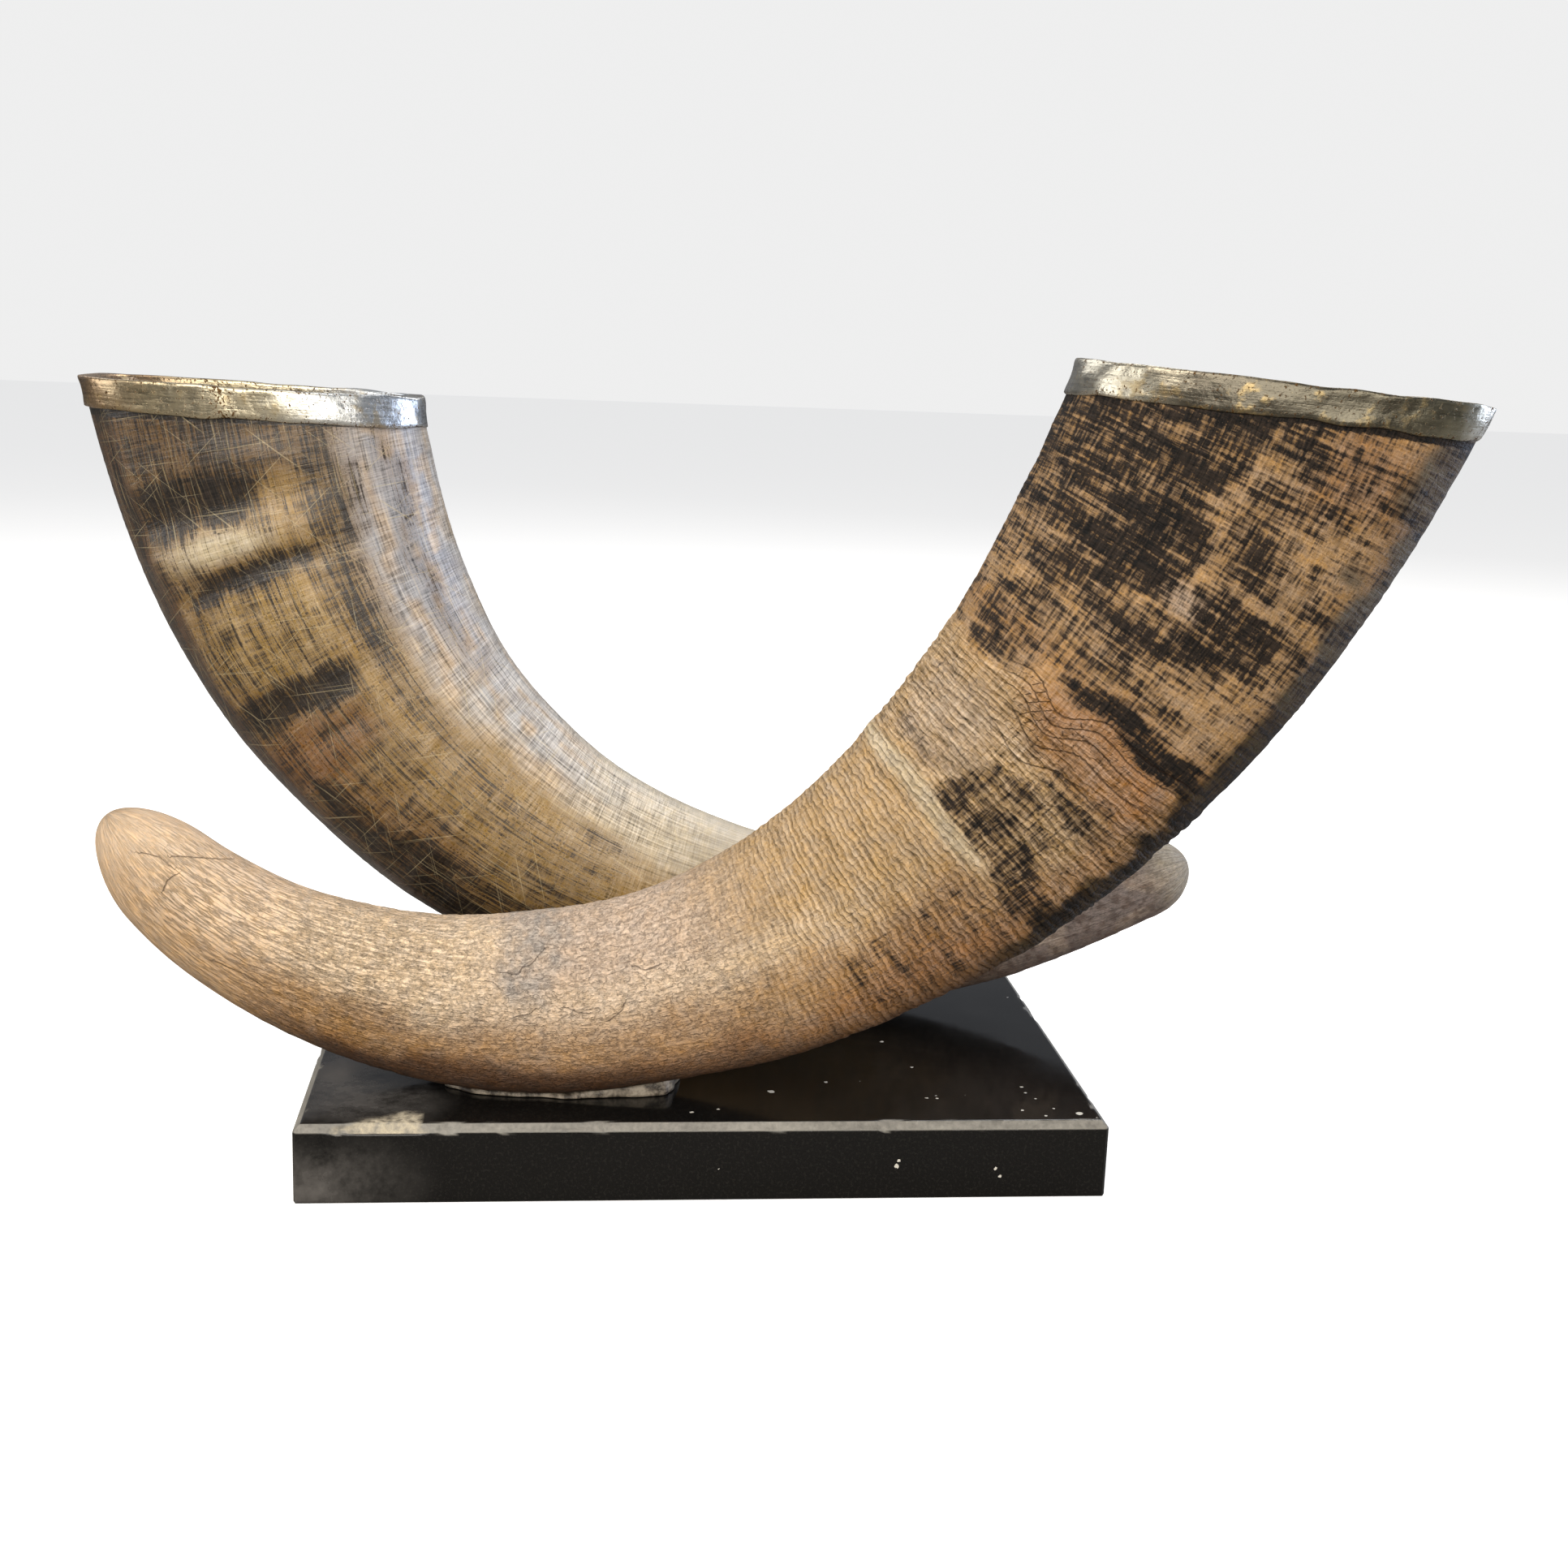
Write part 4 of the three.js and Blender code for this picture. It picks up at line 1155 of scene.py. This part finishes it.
# The colours drawn round each mouth are partly the plate and its wear and partly a painted
# reflection, and the pale bluish stretch on the rear rim stands for the window.
front_rim.data.materials.append(rim_material("silver_plated_brass_wear_and_painted_reflection_front", [
    (0.0, "#B3AEA2"), (0.22, "#B8B09C"), (0.34, "#59544A"), (0.58, "#625D50"),
    (0.72, "#8F8974"), (0.86, "#C9C4B6")], 0))
rear_rim.data.materials.append(rim_material("silver_plated_brass_wear_and_painted_reflection_rear", [
    (0.0, "#A5A49E"), (0.12, "#D4D8DC"), (0.34, "#D5D5D0"), (0.46, "#BDB39A"),
    (0.62, "#A3967A"), (0.80, "#A58A6C")], 30))
print("rims finished")

# %% [markdown]
# ## The slab
# The slab is a sawn and polished block of black granite with a narrow slope, an arris, ground
# along its top edges.  A bevelled box would be too perfect: the arris has lost its polish, and
# chips have broken off it.  The box is a net of points, denser at its edges, and the slope is
# made by pushing every point that is too near an edge back onto it.

# %% Net of the slab
SLAB_HALF, SLAB_HEIGHT = np.array([150.0, 100.0]), 30.0
NET_CELL, NET_MARGIN = 2.6, 7.5  # mm: the margin along the edges has closer lines


def net_lines(half, spacing):
    """Places of the net's lines from -half to half: every half millimetre at the ends."""
    edge = np.array([0, 0.3, 0.7, 1.2, 1.7, 2.2, 2.7, 3.3, 4.2, 5.6])
    count = int(round((2 * half - 2 * NET_MARGIN) / spacing)) + 1
    inside = np.linspace(-half + NET_MARGIN, half - NET_MARGIN, count)
    return np.concatenate([-half + edge, inside, half - edge[::-1]])


def box_net(x, y, z):
    """Points and squares of the six sides of a box, with lines at the given places."""
    points, squares, start = [], [], 0
    for fixed, (u, v) in enumerate(((y, z), (z, x), (x, y))):
        for end in (0, -1):
            grid_u, grid_v = np.meshgrid(u, v, indexing="ij")
            level = np.full(grid_u.shape, (x, y, z)[fixed][end])
            side = np.stack([level, grid_u, grid_v], -1)
            side = np.roll(side, fixed, -1).reshape(-1, 3)
            index = np.arange(len(side)).reshape(grid_u.shape) + start
            corners = [index[:-1, :-1], index[1:, :-1], index[1:, 1:], index[:-1, 1:]]
            if end == 0:
                corners = corners[::-1]
            points.append(side)
            squares.append(np.stack(corners, -1).reshape(-1, 4))
            start += len(side)
    welded, number = np.unique(np.round(np.concatenate(points), 4), axis=0, return_inverse=True)
    return welded, number.reshape(-1)[np.concatenate(squares)]


net, squares = box_net(
    net_lines(SLAB_HALF[0], NET_CELL), net_lines(SLAB_HALF[1], NET_CELL),
    np.array([0, 0.3, 0.8, 1.5, 3, 6, 9, 12, 15, 18, 21, 24, 26, 27, 27.6, 28.2, 28.8, 29.4, 30]))
print(len(net), "points and", len(squares), "squares in the net")

# %% [markdown]
# Each point of the net knows how far it is from every side.  Where two of these distances are
# small the point is near an edge.  Nicks and one flake are places where the slope is wider.

# %% Edges of the slab
ARRIS, FOOT_ARRIS, CORNER = 2.5, 0.8, 1.2


def cut_edge(inset, first, second, size):
    """Pushes points off a sharp edge: where the distances from its two sides add up to less
    than the size of the slope, both grow by half of what is missing."""
    missing = np.maximum(size - (inset[first] + inset[second]), 0) / 2
    inset[first], inset[second] = inset[first] + missing, inset[second] + missing


inset = {"x": SLAB_HALF[0] - np.abs(net[:, 0]), "y": SLAB_HALF[1] - np.abs(net[:, 1]),
         "top": SLAB_HEIGHT - net[:, 2], "foot": net[:, 2].copy()}
nick = np.maximum(bumps(net, (5, 5, 5), 61) - 0.55, 0) * 1.6
# The flake that broke off the front arris is a wedge: it starts at nothing and ends bluntly.
wedge = smooth(-140, -108, net[:, 0] + 2 * bumps(net, 5, 62)) * (1 - smooth(-107, -103, net[:, 0]))
flake = (1 - smooth(-3, 0, net[:, 1] + SLAB_HALF[1] - 15 * wedge + 1.5 * bumps(net, 4, 63))) * (
    (wedge > 0.05) & (net[:, 2] > SLAB_HEIGHT - ARRIS))
slope = ARRIS + nick + 1.6 * flake
cut_edge(inset, "x", "y", CORNER)
for wall in ("x", "y"):
    cut_edge(inset, wall, "top", slope)
    cut_edge(inset, wall, "foot", FOOT_ARRIS)
print("the arris is", slope.min(), "to", slope.max().round(1), "mm wide")

# %% [markdown]
# The new distances give the points their places.  The marks say where the stone is ground,
# where it is broken, where dust lies, and where smudges and a painted reflection lie.

# %% Slab piece
height = np.where(net[:, 2] > SLAB_HEIGHT / 2, SLAB_HEIGHT - inset["top"], inset["foot"])
slab_points = np.stack([
    np.sign(net[:, 0]) * (SLAB_HALF[0] - inset["x"]),
    np.sign(net[:, 1]) * (SLAB_HALF[1] - inset["y"]), height], -1)
slab_points[:, 2] -= 0.5 * flake * (inset["top"] < 0.01) * (0.6 + 0.4 * bumps(net, 3, 64))
near_edge = np.minimum(inset["x"], inset["y"])
on_slope = (inset["top"] > 0.02) & (inset["top"] < slope - 0.02) & (near_edge < slope)
x, y = slab_points[:, 0], slab_points[:, 1]
top_side, front_side = slab_points[:, 2] > SLAB_HEIGHT - 4, y < 1 - SLAB_HALF[1]
slab = new_piece("slab_polished", "stone_slab", slab_points, squares.tolist(), dict(
    arris=np.maximum(on_slope, 0.6 * nick * (near_edge < 4) * top_side),
    flake=flake,
    dust=np.maximum(patch(x, y, (112, 146, -97, -56), 9, 9),
                    0.3 * patch(x, y, (60, 140, -90, -50), 14, 14)) * top_side,
    # The left end of the front side is lighter, and the grey patch on the left of the top is a
    # painted reflection of the room.
    smudge_and_reflection=np.maximum(
        0.9 * patch(x, slab_points[:, 2], (-160, -118, -2, 20), 24, 8) * front_side,
        patch(x, y, (-149, -100, -94, -10), 14, 14) * top_side)))

# %% [markdown]
# ## The finish of the stone
# Black granite is a dense dark rock, ground and polished until it mirrors.  The mirror is
# kept weak, as dust and old wax dull it, and a grey haze on the left of the top is partly
# dulled polish and partly a painted reflection.  Fine grey crystals stay visible under the
# polish.  The ground arris is pale, partly because its rough grains scatter light and partly
# as a painted highlight along the edge.  So the eye meets a dark plane with a dim room in it,
# a chalky line round it and sharp pale specks lying on top.

# %% Patterns in the stone
stone, tree, shader = new_material("polished_black_granite", IOR=1.45, Specular_IOR_Level=0.32)
marks = {mark: add(tree, "Attribute", output="Fac", attribute_name=mark)
         for mark in ("smudge_and_reflection", "dust", "arris", "flake")}
place = add(tree, "VectorMath", {0: add(tree, "TexCoord", output="Object"), "Scale": 1000.0},
            operation="SCALE")
# Crystals in black granite are 0.5 to 1 mm across.
noise = noises(tree, place, crystal=(1.1, 1.1, 1.1), cloud=(36, 36, 36), fine=(2.4, 2.4, 2.4))
crystal = add(tree, "MapRange", {"Value": noise["crystal"], "From Min": 0.1, "To Max": 0.5})
colour = add(tree, "Mix", {0: crystal, 6: linear("#100F0E"), 7: linear("#2A2925")}, 2,
             data_type="RGBA")
shares = {}
for mark, start, cloud, fine, least in (
        ("smudge_and_reflection", 0.5, 0.5, 0.12, 0.0), ("arris", 0.5, 0.3, 0.4, 0.5),
        ("flake", 0.62, 0.3, 0.7, 0.2)):
    share = total(tree, start, (noise["cloud"], cloud), (noise["fine"], fine))
    share = add(tree, "MapRange", {"Value": share, "To Min": least})
    shares[mark] = add(tree, "Math", {0: share, 1: marks[mark]}, operation="MULTIPLY")
haze_and_reflection, ground_arris_and_highlight, broken = shares.values()
print("marks on the stone:", sorted(marks))

# %% [markdown]
# Specks of lime and glue lie on the polish.  The larger ones are placed one by one.  The finest
# fill a few cells of a random net that is 4 mm wide, and more of its cells where dust lies.

# %% Specks on the stone
DROPS = [  # place in mm and size of dropped specks of lime and glue
    (25.6, -67.8, 30, 1.3), (140.5, -91.2, 30, 1.4), (70, -100, 13, 0.9), (70.6, -100, 15.2, 0.6),
    (107.6, -100, 11.8, 0.6), (109.3, -100, 8.8, 0.6), (-6, -88, 30, 0.8), (48, -58, 30, 0.7)]

cells, kind = [add(tree, "TexVoronoi", {"Vector": place, "Scale": 0.26}, output)
               for output in ("Distance", "Color")]
pick = add(tree, "SeparateColor", {"Color": kind})
chosen = add(tree, "Math", {0: pick, 1: total(tree, 0.004, (marks["dust"], 0.36))},
             operation="LESS_THAN")
small = add(tree, "Math", {0: cells, 1: total(tree, 0.16, (noise["fine"], 0.12))},
            operation="LESS_THAN")
specks = [add(tree, "Math", {0: chosen, 1: small}, operation="MULTIPLY")]
for *at, size in DROPS:
    away = add(tree, "VectorMath", {0: place, 1: tuple(at)}, "Value", operation="DISTANCE")
    ragged = total(tree, away, (noise["crystal"], 0.35))
    specks.append(add(tree, "Math", {0: ragged, 1: size}, operation="LESS_THAN"))
speck = specks[0]
for other in specks[1:]:
    speck = add(tree, "Math", {0: speck, 1: other}, operation="MAXIMUM")
print(len(DROPS), "specks placed one by one")

# %% [markdown]
# The layers go over the dark stone in the order in which they came to it.  Each of them is
# rougher than the polish, so it also takes the mirror away where it lies.

# %% Stone material
# The haze is partly dulled polish and partly a painted reflection, and the pale arris is partly
# ground stone and partly a painted highlight.
for share, layer in ((total(tree, 0.0, (haze_and_reflection, 0.9)), "#6F6B67"), (ground_arris_and_highlight, "#918D84"),
                     (broken, "#B9AE97"), (speck, "#C9C5BA")):
    colour = add(tree, "Mix", {0: share, 6: colour, 7: linear(layer)}, 2, data_type="RGBA")
roughness = total(tree, 0.12, (noise["cloud"], 0.06), (haze_and_reflection, 0.35), (ground_arris_and_highlight, 0.5), (broken, 0.6),
                  (speck, 0.5))
height = total(tree, 0.0, (speck, 1.0), (ground_arris_and_highlight, noise["fine"], 0.5), (broken, noise["fine"], 0.6))
connect(tree, shader, colour, roughness, height, bump_mm=0.3)
slab.data.materials.append(stone)
print("stone finished")

# %% [markdown]
# ## The adhesive
# Each horn is bedded in a bead of resin that was squeezed out around its lowest part and set
# there.  Cutting the horn out of a lump would leave ragged triangles.  Instead the top of the
# bead is the horn's own skin, grown by a hair, and from the outline of the contact it falls to
# the stone in a lumpy rounded bank.

# %% Adhesive pieces
BEAD_AROUND, BEAD_FOOT = 180, 30.3
CONTACT_HALF, CONTACT_TURN = 36, 0.33  # mm along and radians round, from its middle
LUMP_RING = 14  # mm, radius of the even ring that the lumps are read on


def bead_piece(name, node, horn, offset, seed):
    """Rings on the horn's grown skin from the middle of the contact outwards, then a bank that
    falls to the foot along a quarter circle, then the foot back to its middle."""
    theta = np.linspace(0, 2 * np.pi, BEAD_AROUND, endpoint=False)
    tries = np.linspace(40, horn["length"] * PAST_BEND, 600)
    underside = skin(horn, tries, np.full(tries.shape, np.pi), GAP)
    lowest = tries[np.argmin(underside[:, 2])]
    ring = LUMP_RING * np.stack([np.cos(theta), np.sin(theta), 0 * theta], -1)
    lump, bulge = bumps(ring, 3.5, seed), bumps(ring, 9, seed + 1)
    rows = []
    for share in np.linspace(0, 1, 12):
        s = lowest + offset + share * (CONTACT_HALF + 3 * bulge) * np.cos(theta)
        turn = np.pi + share * (CONTACT_TURN + 0.03 * bulge) * np.sin(theta)
        rows.append(skin(horn, s, turn, GAP))
    edge = rows[-1]
    middle = rows[0].mean(0)
    away = (edge - middle) * (1, 1, 0)
    away /= np.linalg.norm(away, axis=1, keepdims=True)
    out = (1.9 + 0.9 * lump + 0.5 * bulge)[:, None]
    rise = (edge[:, 2] - BEAD_FOOT)[:, None]
    for quarter in np.radians([12, 28, 44, 60, 76, 90]):
        rows.append(edge + away * out * np.sin(quarter)
                    - np.array([0, 0, 1]) * rise * (1 - np.cos(quarter)))
    foot = rows[-1].copy()
    rows += [middle * (1, 1, 0) + (foot - middle) * (1, 1, 0) * share + (0, 0, BEAD_FOOT)
             for share in (0.99, 0.6, 0.0)]
    grid = np.stack(rows)
    grid[0] = grid[0].mean(0)
    faces, used = ring_surface(grid)
    return new_piece(name, node, grid.reshape(-1, 3)[used], faces, {})


front_bead = bead_piece("bead_front", "front_adhesive", front, offset=12, seed=71)
rear_bead = bead_piece("bead_rear", "rear_adhesive", rear, offset=0, seed=81)

# %% [markdown]
# ## The finish of the adhesive
# Polyester resin was dabbed on as a paste and set as it lay.  It is cloudy and cream, and it
# has picked up dust and soot, so the eye sees a dull, crumbly line of pale and dark under the
# horn rather than a clear bead.

# %% Resin material
resin, tree, shader = new_material("set_polyester_resin", IOR=1.5, Roughness=0.5)
place = add(tree, "TexCoord", output="Object")
# Dust lies in blots about 6 mm wide, 160 to a metre, with specks of every smaller size in them.
dark_share = add(tree, "TexNoise", {"Vector": place, "Scale": 160.0, "Detail": 5.0, "Roughness": 0.7})
dark_share = add(tree, "MapRange", {"Value": dark_share, "From Min": 0.37, "From Max": 0.57})
tree.links.new(add(tree, "Mix", {0: dark_share, 6: linear("#B3A591"), 7: linear("#3E352B")}, 2,
                   data_type="RGBA"), shader.inputs["Base Color"])
tree.links.new(add(tree, "Bump", {"Height": dark_share, "Distance": 0.3 * MM, "Strength": 0.7}),
               shader.inputs["Normal"])
for bead in (front_bead, rear_bead):
    bead.data.materials.append(resin)
print("resin finished")
